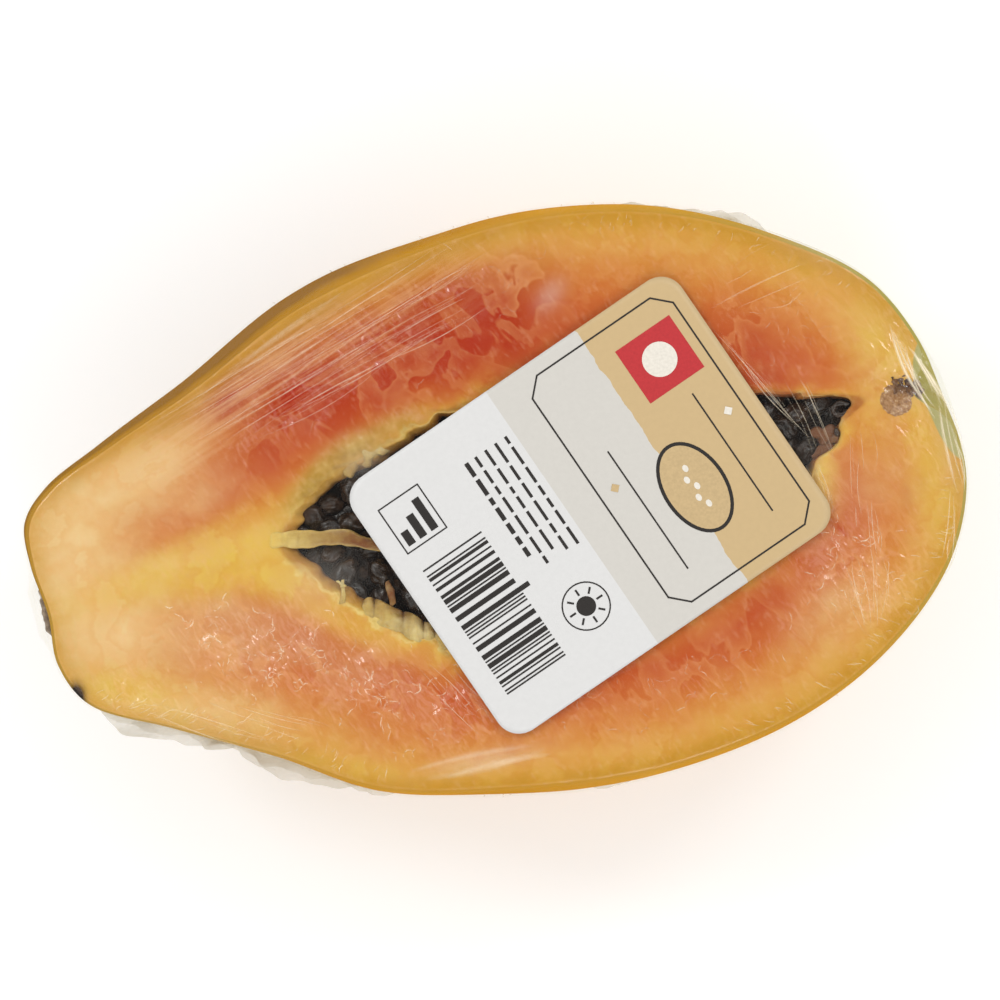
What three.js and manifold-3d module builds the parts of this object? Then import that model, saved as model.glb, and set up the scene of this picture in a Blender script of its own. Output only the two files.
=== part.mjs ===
// Half a papaya, wrapped in cling film, with a label stuck on the film over the cut face.
//
// Millimetres, +Z up. The half lies on its round back with the cut face up and level. +X runs along
// the fruit from the stem end to the blossom end. The shapes are worked out in the fruit's own frame,
// whose z = 0 is the cut face, and the last lines move the whole to stand on z = 0, centred.

import * as THREE from "three";
import { mergeVertices } from "three/addons/utils/BufferGeometryUtils.js";
import Module from "manifold-3d";

const wasm = await Module();
wasm.setup();

// ---------------------------------------------------------------- driving dimensions

const DEPTH = 56; // cut face to the underside
const EQUATOR = 9; // the fruit is widest this far below the cut face
const EDGE_ROUND = 1.8; // rounding of the cut edge
const REST_FLAT = 0.8; // how much of the back is pressed flat where it rests
const BODY_CENTRE = [3, -3]; // over the deepest point
const NECK_TAPER = 15; // how much shallower the stem end is than the middle
const LOBES = 0.6; // height of the fruit's five long, faint ribs
// How far the skin stands out past the cut edge, each 30 degrees from +X: most at the upper left.
const BULGE = [2.8, 2.3, 3.2, 3.4, 4.6, 4.5, 2.1, 1.4, 2.4, 3.2, 3.1, 3];
const CAVITY_CENTRE = [12, -4];
const CAVITY_DEPTH = 29;
const GAP = 0.35; // between pieces that touch
const FILM = 0.35; // film, drawn thicker than its real 0.012
const LABEL = { length: 76, width: 58.4, thickness: 0.3, corner: 4.8, turn: 21.9, at: [16.6, -4.7] };

// The edge of the cut face and the edge of the seed cavity in it, anticlockwise, as [along, across].
const CUT_EDGE = [
  [86.5, -4], [84.4, 9.2], [77, 25.3], [60, 38.2], [40, 46.8], [16, 50.6], [-8, 48.7], [-30, 43.6],
  [-52, 33.2], [-70, 26], [-82.5, 20.6], [-88.4, 15], [-89.4, 7], [-88.3, -3], [-88.6, -12.5],
  [-84.6, -21], [-70, -29], [-52, -38.4], [-34, -48.3], [-8, -53.7], [18, -55.7], [44, -52.2],
  [64, -43.6], [79.5, -30.2], [86.2, -16.2],
];
const CAVITY_EDGE = [
  [70.8, 3.1], [60, 7.8], [44, 11.5], [22, 18.5], [0, 19], [-22, 14.2], [-37.5, 7.2], [-43, 1],
  [-40.5, -4.8], [-31.5, -14], [-12, -27.5], [10, -30.5], [36, -25], [53, -16.5], [60.5, -8.5], [63.5, -4],
];

// The seeds' top: how far below the cut face, how uneven, how far apart its rises are, and how sharply
// it falls off to the cavity's wall.
const HEAP = { level: -2.7, lump: 1, apart: 13, brim: 6 };

// The flap of placenta left standing in the cavity's stem end, with its top at the cut face.
const RIB_LINE = [[-46, 1.4], [-37, 0.5], [-31, -0.5], [-26, -3.2], [-20, -5.4]];
const RIB = { half: 1.8, tip: 0.05, deep: 20, steps: 8 };

// Where the flower was: a dimple in the blossom end, and in it a corky scar that the cut goes through.
const DIMPLE = { at: [85, 2.8, -1], deep: 5.6, wide: 3.1, inwards: 12 };
const BLOSSOM_SCAR = { at: [78.3, 2.4, -1.7], radius: 3.3, top: 1.5, uneven: 0.05 };

// Where the stalk was: a woody dished disc in the skin of the other end, just under the cut face.
const STEM_SCAR = { at: [-90, -2, -9.2], radius: 5.8, long: 8, proud: 1.8 };
const SCAR_BRIDGE = 3.2; // how far the film stands off the skin where it runs over the stem scar

// The film's loose ends turn back up from where it gathers under the fruit: a short frill, and a few
// flaps that stand off the side, as [direction, half width, stand-off].
const FLAPS = [[208, 19, 7], [38, 13, 5.7], [-10, 13, 4.6]];
const FRILL = { length: 0.1, off: 2.2, ripple: 0.5 };
const FLAP_TOP = 0.22; // the share of the way down the back where the flaps end

// Fineness
const SEGMENTS = 68; // round each ring
const END_CROWDING = 0.5; // the segments crowd together at both ends, where the shape turns most
const BODY_STEPS = [0, 0.08, 0.18, 0.3, 0.43, 0.56, 0.68, 0.79, 0.89, 1]; // down the back, of 1
const GATHER = 7; // the step where the film gathers
const LOOSE_STEPS = [0.25, 0.5, 0.75, 1]; // along a loose end of film, of 1
const CAVITY_STEPS = [0, 0.25, 0.5, 0.7, 0.84, 0.94]; // up the cavity's wall, of 1
const HEAP_STEPS = [0.92, 0.78, 0.63, 0.48, 0.33, 0.18, 0]; // in over the seeds, of 1

const degrees = THREE.MathUtils.degToRad;
const bell = (distance, width) => Math.exp(-0.5 * (distance / width) ** 2);
/** 1 near the middle, and a half `half` away. */
const plateau = (distance, half) => Math.min(1, 2 * bell(distance, half / 1.665));

// ---------------------------------------------------------------- outlines

/** A closed smooth line through points, as a function from direction round a centre to radius. */
function outline(points, centre) {
  const corners = points.map(([x, y]) => new THREE.Vector3(x, y, 0));
  const line = new THREE.CatmullRomCurve3(corners, true, "centripetal").getPoints(720);
  const polar = line.map((p) => {
    const [x, y] = [p.x - centre[0], p.y - centre[1]];
    return { turn: Math.atan2(y, x), radius: Math.hypot(x, y) };
  });
  polar.sort((a, b) => a.turn - b.turn);
  return (angle) => {
    const turn = Math.atan2(Math.sin(angle), Math.cos(angle));
    const after = polar.findIndex((p) => p.turn >= turn);
    const [a, b] = after > 0 ? [polar[after - 1], polar[after]] : [polar.at(-1), polar[0]];
    const span = b.turn - a.turn || 1;
    const share = after > 0 ? (turn - a.turn) / span : 0.5;
    return THREE.MathUtils.lerp(a.radius, b.radius, share);
  };
}

const cutRadius = outline(CUT_EDGE, BODY_CENTRE);
const cavityRadius = outline(CAVITY_EDGE, CAVITY_CENTRE);

// ---------------------------------------------------------------- the fruit's surface

/** How far the skin stands out past the cut edge at the fruit's widest level. */
function bulge(angle) {
  const place = THREE.MathUtils.euclideanModulo((angle / (2 * Math.PI)) * BULGE.length, BULGE.length);
  const [before, after] = [Math.floor(place), Math.ceil(place) % BULGE.length];
  const share = THREE.MathUtils.smoothstep(place % 1, 0, 1);
  return THREE.MathUtils.lerp(BULGE[before], BULGE[after], share);
}

/** How deep the back would be at a place along the fruit: it gets shallower towards the stem end. */
function depthAlong(x) {
  return DEPTH - NECK_TAPER * THREE.MathUtils.smoothstep(-x, -BODY_CENTRE[0], 80);
}

/** A point on the back: share 0 is the cut edge, 1 is the deepest point. `out` offsets the surface. */
function backPoint(angle, share, out = 0) {
  const wide = cutRadius(angle) + bulge(angle) + out;
  const first = -Math.acos((cutRadius(angle) + out) / wide);
  const latitude = THREE.MathUtils.lerp(first, Math.PI / 2, share);
  const reach = wide * Math.cos(latitude);
  const x = BODY_CENTRE[0] + reach * Math.cos(angle);
  const y = BODY_CENTRE[1] + reach * Math.sin(angle);
  const rise = (EQUATOR - EDGE_ROUND) / Math.sin(-first);
  const fall = depthAlong(x) - EQUATOR + out;
  const z = -EQUATOR - (latitude < 0 ? rise : fall) * Math.sin(latitude);
  const lift = LOBES * Math.cos(5 * Math.atan2(y, -z)) * Math.max(0, Math.sin(latitude));
  return new THREE.Vector3(x, y, Math.max(z - lift, REST_FLAT - DEPTH - out));
}

/** Pulls a point of the blossom end into the dimple. */
function dimpled(p) {
  const [x, y, z] = DIMPLE.at;
  const near = bell(Math.hypot(p.y - y, p.z - z), DIMPLE.wide);
  p.x -= DIMPLE.deep * near * bell(p.x - x, DIMPLE.inwards);
  return p;
}

/** Pushes a point of the film at the stem end out over the stem scar. */
function overScar(p) {
  const [x, y, z] = STEM_SCAR.at;
  const near = plateau(Math.hypot(p.y - y, p.z - z), 1.4 * STEM_SCAR.radius);
  p.x -= SCAR_BRIDGE * near * bell(p.x - x, STEM_SCAR.long);
  return p;
}

/** A point of the flat cut face, or `up` above it, at a radius from the body's centre. */
const facePoint = (angle, radius, up = 0) =>
  new THREE.Vector3(BODY_CENTRE[0] + radius * Math.cos(angle), BODY_CENTRE[1] + radius * Math.sin(angle), up);

/** A point half-way round the rounded edge of the cut face. */
function edgePoint(angle, out = 0) {
  const corner = (1 - Math.SQRT1_2) * EDGE_ROUND;
  const offset = Math.SQRT1_2 * out;
  return facePoint(angle, cutRadius(angle) - corner + offset, offset - corner);
}

/** A point of the cavity: share 0 is its floor, 1 its edge. `inset` keeps off the wall. */
function cavityPoint(angle, share, inset = 0) {
  const lean = share * (Math.PI / 2);
  const radius = (cavityRadius(angle) - inset) * Math.sin(lean);
  const z = -(CAVITY_DEPTH - inset) * Math.cos(lean) ** 0.8;
  return new THREE.Vector3(
    CAVITY_CENTRE[0] + radius * Math.cos(angle),
    CAVITY_CENTRE[1] + radius * Math.sin(angle),
    z,
  );
}

// ---------------------------------------------------------------- geometry helpers

/**
 * A closed skin: a lathe whose rings are then set to their own places. Each ring is a function from
 * direction to point, and the first and last rings close to a point.
 */
function skin(rings) {
  const profile = rings.map((_, i) => new THREE.Vector2(i % (rings.length - 1) ? 1 : 0, i));
  const geometry = new THREE.LatheGeometry(profile, SEGMENTS);
  const places = geometry.getAttribute("position");
  for (let i = 0; i < places.count; i += 1) {
    const turn = (2 * Math.PI * Math.floor(i / rings.length)) / SEGMENTS;
    const angle = turn - (END_CROWDING / 2) * Math.sin(2 * turn);
    const p = rings[i % rings.length](angle);
    places.setXYZ(i, p.x, p.y, p.z);
  }
  return geometry;
}

/** The geometry as a manifold-3d solid. */
function solid(geometry, matrix = new THREE.Matrix4()) {
  const plain = geometry.clone().applyMatrix4(matrix);
  plain.deleteAttribute("normal");
  plain.deleteAttribute("uv");
  const merged = mergeVertices(plain, 1e-4);
  const kept = [];
  const index = merged.index.array;
  for (let i = 0; i < index.length; i += 3) {
    const [a, b, c] = index.subarray(i, i + 3);
    if (a !== b && b !== c && c !== a) kept.push(a, b, c);
  }
  const vertProperties = merged.getAttribute("position").array;
  const triVerts = new Uint32Array(kept);
  return new wasm.Manifold(new wasm.Mesh({ numProp: 3, vertProperties, triVerts }));
}

/** A named mesh of a manifold-3d solid. */
function piece(name, made, material) {
  const { vertProperties, triVerts } = made.getMesh();
  const geometry = new THREE.BufferGeometry();
  geometry.setAttribute("position", new THREE.BufferAttribute(vertProperties, 3));
  geometry.setIndex(new THREE.BufferAttribute(triVerts, 1));
  geometry.computeVertexNormals();
  const mesh = new THREE.Mesh(geometry, material);
  mesh.name = name;
  return mesh;
}

const range = (count, make) => Array.from({ length: count }, (_, i) => make(i));

// ---------------------------------------------------------------- fruit

/** The standing flap of placenta, as an upright strip that thins to its end. `grow` thickens it. */
function ribSolid(grow = 0) {
  const line = new THREE.CatmullRomCurve3(RIB_LINE.map(([x, y]) => new THREE.Vector3(x, y, 0)));
  const sides = [1, -1].map((side) =>
    range(RIB.steps + 1, (i) => {
      const share = i / RIB.steps;
      const at = line.getPoint(share);
      const along = line.getTangent(share);
      const half = RIB.half * Math.sqrt(1 - share ** 2) + RIB.tip + grow;
      return new THREE.Vector2(at.x - side * along.y * half, at.y + side * along.x * half);
    }),
  );
  const shape = new THREE.Shape([...sides[0], ...sides[1].reverse()]);
  const strip = new THREE.ExtrudeGeometry(shape, { depth: RIB.deep + 2 * grow, bevelEnabled: false });
  return solid(strip, new THREE.Matrix4().makeTranslation(0, 0, -RIB.deep - grow));
}

/** The flesh and skin, in one: an open cavity in the cut face, a round back and a dimpled end. */
function fruitSolid() {
  const inner = (angle) => cavityPoint(angle, 1);
  const outer = (angle) => facePoint(angle, cutRadius(angle) - EDGE_ROUND);
  const rings = [
    ...CAVITY_STEPS.map((share) => (angle) => cavityPoint(angle, share)),
    ...[0, 0.3, 0.65, 1].map((share) => (angle) => dimpled(inner(angle).lerp(outer(angle), share))),
    (angle) => dimpled(edgePoint(angle)),
    ...BODY_STEPS.map((share) => (angle) => dimpled(backPoint(angle, share))),
  ];
  return solid(skin(rings.reverse()));
}

// ---------------------------------------------------------------- scars

/** A lump of cork: an uneven ball, cut off level with the cut face. */
function blossomScarSolid(grow = 0) {
  const ball = new THREE.IcosahedronGeometry(BLOSSOM_SCAR.radius + grow, 4);
  const places = ball.getAttribute("position");
  for (let i = 0; i < places.count; i += 1) {
    const [x, y, z] = [places.getX(i), places.getY(i), places.getZ(i)];
    const uneven = 1 + BLOSSOM_SCAR.uneven * Math.sin(2.3 * x + 1) * Math.sin(2.1 * y) * Math.cos(1.9 * z);
    places.setXYZ(i, x * uneven, y * uneven, Math.min(z * uneven, BLOSSOM_SCAR.top + grow));
  }
  return solid(ball, new THREE.Matrix4().makeTranslation(...BLOSSOM_SCAR.at));
}

/** A woody disc with a raised rim and a dished face, its axis along the fruit. */
function stemScarSolid(grow = 0) {
  const { radius, long, proud } = STEM_SCAR;
  const edge = radius + grow;
  const top = proud + grow;
  const base = top - long - 2 * grow;
  const profile = [
    [0, base], [0.72 * edge, base], [edge, base + 0.4 * long], [0.97 * edge, top - 0.5],
    [0.8 * edge, top], [0.5 * edge, top - 0.9], [0, top - 0.6],
  ];
  const disc = new THREE.LatheGeometry(profile.map(([x, y]) => new THREE.Vector2(x, y)), 28);
  const facingOut = new THREE.Matrix4().makeRotationZ(Math.PI / 2);
  return solid(disc, facingOut.premultiply(new THREE.Matrix4().makeTranslation(...STEM_SCAR.at)));
}

// ---------------------------------------------------------------- seeds

/** The heap of seeds in the cavity, lumpy on top. */
function seedHeapSolid() {
  const off = 2 * GAP;
  const top = (share) => (angle) => {
    const rim = cavityPoint(angle, CAVITY_STEPS.at(-1), off);
    const centre = new THREE.Vector3(CAVITY_CENTRE[0], CAVITY_CENTRE[1], HEAP.level);
    const p = centre.lerp(rim, share);
    const [u, v] = [(2 * Math.PI * p.x) / HEAP.apart, (2 * Math.PI * p.y) / HEAP.apart];
    const lump = Math.sin(u + 0.4 * v) * Math.sin(v - 0.3 * u);
    p.z = THREE.MathUtils.lerp(HEAP.level + HEAP.lump * lump, rim.z, share ** HEAP.brim);
    return p;
  };
  const rings = [
    ...CAVITY_STEPS.map((share) => (angle) => cavityPoint(angle, share, off)),
    ...HEAP_STEPS.map(top),
  ];
  return solid(skin(rings));
}

// ---------------------------------------------------------------- film

/** The film's loose end: `along` is 0 at the gather and 1 at its free edge. */
function loosePoint(angle, along, thickness = 0) {
  const [flap, off] = FLAPS.map(([at, half, standOff]) => {
    const apart = Math.atan2(Math.sin(angle - degrees(at)), Math.cos(angle - degrees(at)));
    const share = plateau(apart, degrees(half));
    return [share, THREE.MathUtils.lerp(FRILL.off, standOff, share)];
  }).reduce((a, b) => (a[0] > b[0] ? a : b));
  const gather = BODY_STEPS[GATHER];
  const end = THREE.MathUtils.lerp(gather - FRILL.length, FLAP_TOP, flap);
  const ripple = FRILL.ripple * (Math.sin(11 * angle) + 0.7 * Math.sin(23 * angle)) * along;
  const out = THREE.MathUtils.lerp(GAP + 2 * FILM, off, along) + ripple + thickness;
  return backPoint(angle, THREE.MathUtils.lerp(gather, end, along), out);
}

/** The wrap: stretched over face and back, gathered beneath, its loose ends turned back up. */
function filmSolid() {
  const face = (out) => [
    () => facePoint(0, 0, out),
    (angle) => facePoint(angle, 0.5 * cutRadius(angle), out),
    (angle) => facePoint(angle, cutRadius(angle) - EDGE_ROUND, out),
    (angle) => edgePoint(angle, out),
  ];
  const back = (out) =>
    BODY_STEPS.slice(0, GATHER + 1).map((share) => (angle) => overScar(backPoint(angle, share, out)));
  const rings = [
    ...face(GAP + FILM),
    ...back(GAP + FILM),
    ...LOOSE_STEPS.map((along) => (angle) => loosePoint(angle, along)),
    ...[0, ...LOOSE_STEPS].reverse().map((along) => (angle) => loosePoint(angle, along, FILM)),
    ...back(GAP).reverse(),
    ...face(GAP).reverse(),
  ];
  return solid(skin(rings.reverse()));
}

// ---------------------------------------------------------------- label

/** A flat sheet with round corners. */
function labelSolid() {
  const { length, width, thickness, corner } = LABEL;
  const [x, y] = [length / 2 - corner, width / 2 - corner];
  const shape = new THREE.Shape();
  shape.absarc(x, y, corner, 0, Math.PI / 2);
  shape.absarc(-x, y, corner, Math.PI / 2, Math.PI);
  shape.absarc(-x, -y, corner, Math.PI, 1.5 * Math.PI);
  shape.absarc(x, -y, corner, 1.5 * Math.PI, 2 * Math.PI);
  const sheet = { depth: thickness, bevelEnabled: false, curveSegments: 6 };
  return solid(new THREE.ExtrudeGeometry(shape, sheet));
}

// ---------------------------------------------------------------- the whole

const fleshMaterial = new THREE.MeshStandardMaterial({ color: 0xe0955a, roughness: 0.45 });
const seedMaterial = new THREE.MeshStandardMaterial({ color: 0x2b2725, roughness: 0.3 });
const corkMaterial = new THREE.MeshStandardMaterial({ color: 0x9a7350, roughness: 0.85 });
const woodMaterial = new THREE.MeshStandardMaterial({ color: 0x6f6459, roughness: 0.8 });
const labelMaterial = new THREE.MeshStandardMaterial({ color: 0xe2dfdb, roughness: 0.5 });
const filmMaterial = new THREE.MeshStandardMaterial({
  color: 0xf2f2ee,
  roughness: 0.15,
  transparent: true,
  opacity: 0.25,
});

const papaya = new THREE.Group();
papaya.name = "wrapped_papaya_half";

const fruit = fruitSolid()
  .add(ribSolid())
  .subtract(blossomScarSolid(GAP))
  .subtract(stemScarSolid(GAP));
papaya.add(piece("fruit", fruit, fleshMaterial));
papaya.add(piece("seeds", seedHeapSolid().subtract(ribSolid(GAP)), seedMaterial));
papaya.add(piece("blossom_scar", blossomScarSolid(), corkMaterial));
papaya.add(piece("stem_scar", stemScarSolid(), woodMaterial));
papaya.add(piece("film", filmSolid(), filmMaterial));

const label = piece("label", labelSolid(), labelMaterial);
label.position.set(...LABEL.at, 2 * GAP + FILM);
label.rotation.z = degrees(LABEL.turn);
papaya.add(label);

// Stand it on z = 0, centred over the origin.
const box = new THREE.Box3().setFromObject(papaya, true);
const middle = box.getCenter(new THREE.Vector3());
papaya.position.set(-middle.x, -middle.y, -box.min.z);

export default papaya;
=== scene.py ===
# Half a papaya in cling film, with a label stuck on the film. Blender 4.5.
# Shapes are worked out in millimetres in the fruit's own axes: the cut face is z = 0, and +X runs from
# the stem end to the blossom end. makePiece moves them onto the CAD frame and turns them into metres.
import math
import random
import bmesh
import bpy
import numpy as np
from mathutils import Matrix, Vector
from mathutils.bvhtree import BVHTree


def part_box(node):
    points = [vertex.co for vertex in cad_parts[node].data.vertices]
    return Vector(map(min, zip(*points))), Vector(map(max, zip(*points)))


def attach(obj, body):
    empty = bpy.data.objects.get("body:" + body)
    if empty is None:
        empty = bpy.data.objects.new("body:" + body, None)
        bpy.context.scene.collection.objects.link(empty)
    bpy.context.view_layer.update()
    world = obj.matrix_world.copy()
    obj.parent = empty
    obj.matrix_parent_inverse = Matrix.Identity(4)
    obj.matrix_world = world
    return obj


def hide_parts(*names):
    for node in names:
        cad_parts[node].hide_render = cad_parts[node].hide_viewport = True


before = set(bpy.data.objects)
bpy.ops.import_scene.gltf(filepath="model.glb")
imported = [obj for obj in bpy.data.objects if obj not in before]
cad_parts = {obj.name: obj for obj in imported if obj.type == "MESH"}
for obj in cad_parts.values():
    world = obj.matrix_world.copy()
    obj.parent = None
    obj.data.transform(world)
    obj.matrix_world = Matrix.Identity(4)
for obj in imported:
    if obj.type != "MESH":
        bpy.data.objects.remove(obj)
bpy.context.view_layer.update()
mm = 0.001

labelSize = {"length": 76, "width": 58.4, "corner": 4.8, "turn": 21.9, "middle": (16.6, -4.7), "lift": 1.05}
labelLow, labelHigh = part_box("label")
labelCentre = (labelLow + labelHigh) / 2
origin = np.array([
    labelCentre.x - labelSize["middle"][0] * mm,
    labelCentre.y - labelSize["middle"][1] * mm,
    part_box("fruit")[1].z,
])


# materials: one function that adds a node, and patterns that are made from several

def linear(hexColour):  # sRGB hex to linear
    shares = [int(hexColour[i:i + 2], 16) / 255 for i in (1, 3, 5)]
    return tuple(s / 12.92 if s < 0.04045 else ((s + 0.055) / 1.055) ** 2.4 for s in shares) + (1,)


def node(tree, kind, settings=None, **links):
    # links: a socket's name with _ for a space, or i and its number, given a value, hex colour or node
    made = tree.nodes.new("ShaderNode" + kind)
    for name, value in (settings or {}).items():
        if name != "stops":
            setattr(made, name, value)
            continue
        stops = made.color_ramp.elements  # a ramp's stops: (place, hex colour or grey)
        while len(stops) < len(value):
            stops.new(0.5)
        for stop, (place, tone) in zip(stops, value):
            stop.position = place
            stop.color = linear(tone) if isinstance(tone, str) else (tone, tone, tone, 1)
    for name, value in links.items():
        socket = made.inputs[int(name[1:]) if name[1:].isdigit() else name.replace("_", " ")]
        if isinstance(value, bpy.types.Node):
            value = value.outputs.get("Fac") or value.outputs[0]
        if isinstance(value, bpy.types.NodeSocket):
            tree.links.new(value, socket)
        else:
            socket.default_value = linear(value) if isinstance(value, str) else value
    return made


def newMaterial(name):
    made = bpy.data.materials.new(name)
    made.use_nodes = True
    made.node_tree.nodes.clear()
    return made, made.node_tree


def grain(tree, size, detail=3.0, rough=0.5, stretch=(1, 1, 1), turn=0.0, distort=0.0):
    # noise whose blobs are about size mm across; stretch makes them longer along an axis
    place = node(tree, "TexCoord").outputs["Object"]
    turned = node(tree, "Mapping", Vector=place, Rotation=(0, 0, math.radians(-turn)))
    mapped = node(tree, "Mapping", Vector=turned, Scale=tuple(1 / s for s in stretch))
    return node(tree, "TexNoise", Vector=mapped, Scale=1 / (size * mm), Detail=detail,
                Roughness=rough, Distortion=distort)


def wander(tree, value, sways):  # sways: patterns, and how far each moves the value
    for pattern, far in sways:
        value = node(tree, "Math", {"operation": "MULTIPLY_ADD"}, i0=pattern, i1=far, i2=value)
    return node(tree, "Math", {"operation": "ADD"}, i0=value, i1=-sum(far for _, far in sways) / 2)


def patchy(tree, name, pattern, lift):  # a strength that the mesh holds, broken up by a pattern
    spot = node(tree, "Attribute", {"attribute_name": name})
    broken = node(tree, "Math", {"operation": "ADD"}, i0=pattern, i1=lift)
    return node(tree, "Math", {"operation": "MULTIPLY", "use_clamp": True}, i0=spot, i1=broken)


def stain(tree, colour, tint, name, pattern, lift, most=1.0):  # a tint where patchy says, up to most
    strength = patchy(tree, name, pattern, lift)
    if most < 1:
        strength = node(tree, "Math", {"operation": "MULTIPLY"}, i0=strength, i1=most)
    return node(tree, "MixRGB", Fac=strength, Color1=colour, Color2=tint)


# shapes: rings of points, relief and soft spots

def makePiece(name, points, faces, materials, slot, fields=None, faceMaterials=None, smooth=True):
    data = bpy.data.meshes.new(name)
    places = np.asarray(points, float) * mm + origin
    data.from_pydata(places.tolist(), [], [list(map(int, f)) for f in faces])
    for made in materials:
        data.materials.append(made)
    if faceMaterials is not None:
        data.polygons.foreach_set("material_index", np.asarray(faceMaterials, np.int32))
    data.polygons.foreach_set("use_smooth", np.full(len(data.polygons), smooth))
    for key, values in (fields or {}).items():
        layer = data.attributes.new(key, "FLOAT", "POINT")
        layer.data.foreach_set("value", np.asarray(values, np.float32))
    data.validate()
    data.update()
    made = bpy.data.objects.new(name, data)
    bpy.context.scene.collection.objects.link(made)
    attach(made, "root")
    print(f"{name}: {sum(len(p.vertices) - 2 for p in data.polygons)} triangles")
    return made


def joined(parts):  # one mesh from several, each given as points and faces
    points, faces, start = [], [], 0
    for partPoints, partFaces in parts:
        points.append(partPoints)
        faces += [[corner + start for corner in face] for face in partFaces]
        start += len(partPoints)
    return np.concatenate(points), faces


def lathe(rings, closeStart=False, closeEnd=False):
    # quads between rings of points that have the same number each; a closed end is a fan to its middle
    points = np.concatenate(rings)
    segments = len(rings[0])
    faces = []
    around = np.arange(segments)
    nextOne = (around + 1) % segments
    for k in range(len(rings) - 1):
        low, high = k * segments, (k + 1) * segments
        faces += np.stack([low + around, high + around, high + nextOne, low + nextOne], 1).tolist()
    if closeStart:
        points = np.vstack([points, rings[0].mean(0)])
        faces += [[len(points) - 1, a, b] for a, b in zip(around, nextOne)]
    if closeEnd:
        points = np.vstack([points, rings[-1].mean(0)])
        top = (len(rings) - 1) * segments
        faces += [[len(points) - 1, top + b, top + a] for a, b in zip(around, nextOne)]
    return points, faces


def waves(seed, size, count=9):
    # uneven relief: plane waves of about size mm in random directions, as a function of points, -1 to 1
    dice = random.Random(seed)
    parts = []
    for _ in range(count):
        turn, length = dice.uniform(0, math.tau), size * dice.uniform(0.7, 1.5)
        parts.append((math.cos(turn) * math.tau / length, math.sin(turn) * math.tau / length,
                      dice.uniform(0, math.tau), dice.uniform(-0.6, 0.6) * math.tau / length))

    def relief(p):
        total = sum(np.sin(p[:, 0] * a + p[:, 1] * b + p[:, 2] * d + c) for a, b, c, d in parts)
        return total / math.sqrt(2 * count)
    return relief


def polar(points, centre):  # direction and distance from a centre, seen from above
    dx, dy = points[:, 0] - centre[0], points[:, 1] - centre[1]
    return np.arctan2(dy, dx), np.hypot(dx, dy)


def unit(degrees):  # a step of 1 in a direction
    return math.cos(math.radians(degrees)), math.sin(math.radians(degrees))


def degreesApart(a, b):
    return np.abs((a - b + 180) % 360 - 180)


def softSpots(points, spots):
    # each spot: along, across, half length, half width, turn in degrees, strength
    total = np.zeros(len(points))
    for x, y, long, wide, turn, strength in spots:
        c, s = unit(turn)
        dx, dy = points[:, 0] - x, points[:, 1] - y
        u, v = (dx * c + dy * s) / long, (dy * c - dx * s) / wide
        total = 1 - (1 - total) * (1 - strength * np.exp(-0.9 * (u * u + v * v)))
    return total


def smoothStep(x):
    x = np.clip(x, 0, 1)
    return x * x * (3 - 2 * x)


def bell(distance, width):
    return np.exp(-0.5 * (distance / width) ** 2)


def plateau(distance, half):
    return np.minimum(1, 2 * bell(distance, half / 1.665))


# the fruit's own shape: the CAD source's outline, with the cut face carried out closer to the skin

fruit = {
    "depth": 56, "equator": 9, "edgeRound": 1.2, "restFlat": 0.8, "centre": (3, -3),
    "neckTaper": 15, "neckEnd": -80, "ribs": 5, "ribHeight": 0.6,
    "cavityCentre": (12, -4), "cavityDepth": 29, "cavityRound": 0.8,
    # every 30 degrees: skin past the cut edge, and cut edge past its corners below (mm)
    "bulge": [0.9, 1.2, 1.8, 2.2, 3.6, 3.4, 1.0, 0.9, 1.2, 1.9, 1.6, 1.4],
    "wider": [1.9, 1.1, 1.4, 1.2, 1.0, 1.1, 1.1, 0.5, 1.2, 1.3, 1.5, 1.6],
    "cutEdge": [
        (86.5, -4), (84.4, 9.2), (77, 25.3), (60, 38.2), (40, 46.8), (16, 50.6), (-8, 48.7), (-30, 43.6),
        (-52, 33.2), (-70, 26), (-82.5, 20.6), (-88.4, 15), (-89.4, 7), (-88.3, -3), (-88.6, -12.5),
        (-84.6, -21), (-70, -29), (-52, -38.4), (-34, -48.3), (-8, -53.7), (18, -55.7), (44, -52.2),
        (64, -43.6), (79.5, -30.2), (86.2, -16.2)],
    "cavityEdge": [
        (72.2, 3.6), (60, 7.8), (44, 11.5), (22, 18.5), (0, 19), (-22, 14.2), (-37.5, 7.2), (-43, 1),
        (-40.5, -4.8), (-31.5, -14), (-12, -27.5), (10, -30.5), (36, -25), (53, -16.5), (59.6, -10.4),
        (60.8, -5.8), (65.0, -3.4), (67.4, 0.2)],
    "dimple": {"at": (85, 2.8, -1), "deep": 5.6, "wide": 3.1, "inwards": 12},
    "stemScar": {"at": (-90, -2, -9.2), "radius": 5.2, "proud": 1.2, "long": 6, "bridge": 2.2, "spread": 6.5},
    "blossomScar": {"at": (78.3, 2.3, -1.7), "radius": 3.5, "proud": 0.14},
}


def outline(corners, centre, fine=30):
    # a closed smooth line through the corners, as a function from direction to radius
    p = np.array(corners, float)
    before, after, beyond = np.roll(p, 1, 0), np.roll(p, -1, 0), np.roll(p, -2, 0)
    d0, d1, d2 = [np.sqrt(np.linalg.norm(a - b, axis=1))[:, None] for a, b in
                  ((before, p), (p, after), (after, beyond))]
    start = ((p - before) / d0 - (after - before) / (d0 + d1) + (after - p) / d1) * d1
    end = ((after - p) / d1 - (beyond - p) / (d1 + d2) + (beyond - after) / d2) * d1
    square, cube = 3 * (after - p) - 2 * start - end, 2 * (p - after) + start + end
    line = np.concatenate([p + start * t + square * t ** 2 + cube * t ** 3 for t in np.arange(fine) / fine])
    turn, radius = polar(line, centre)
    order = np.argsort(turn)
    return lambda angle: np.interp(angle, turn[order], radius[order], period=math.tau)


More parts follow.
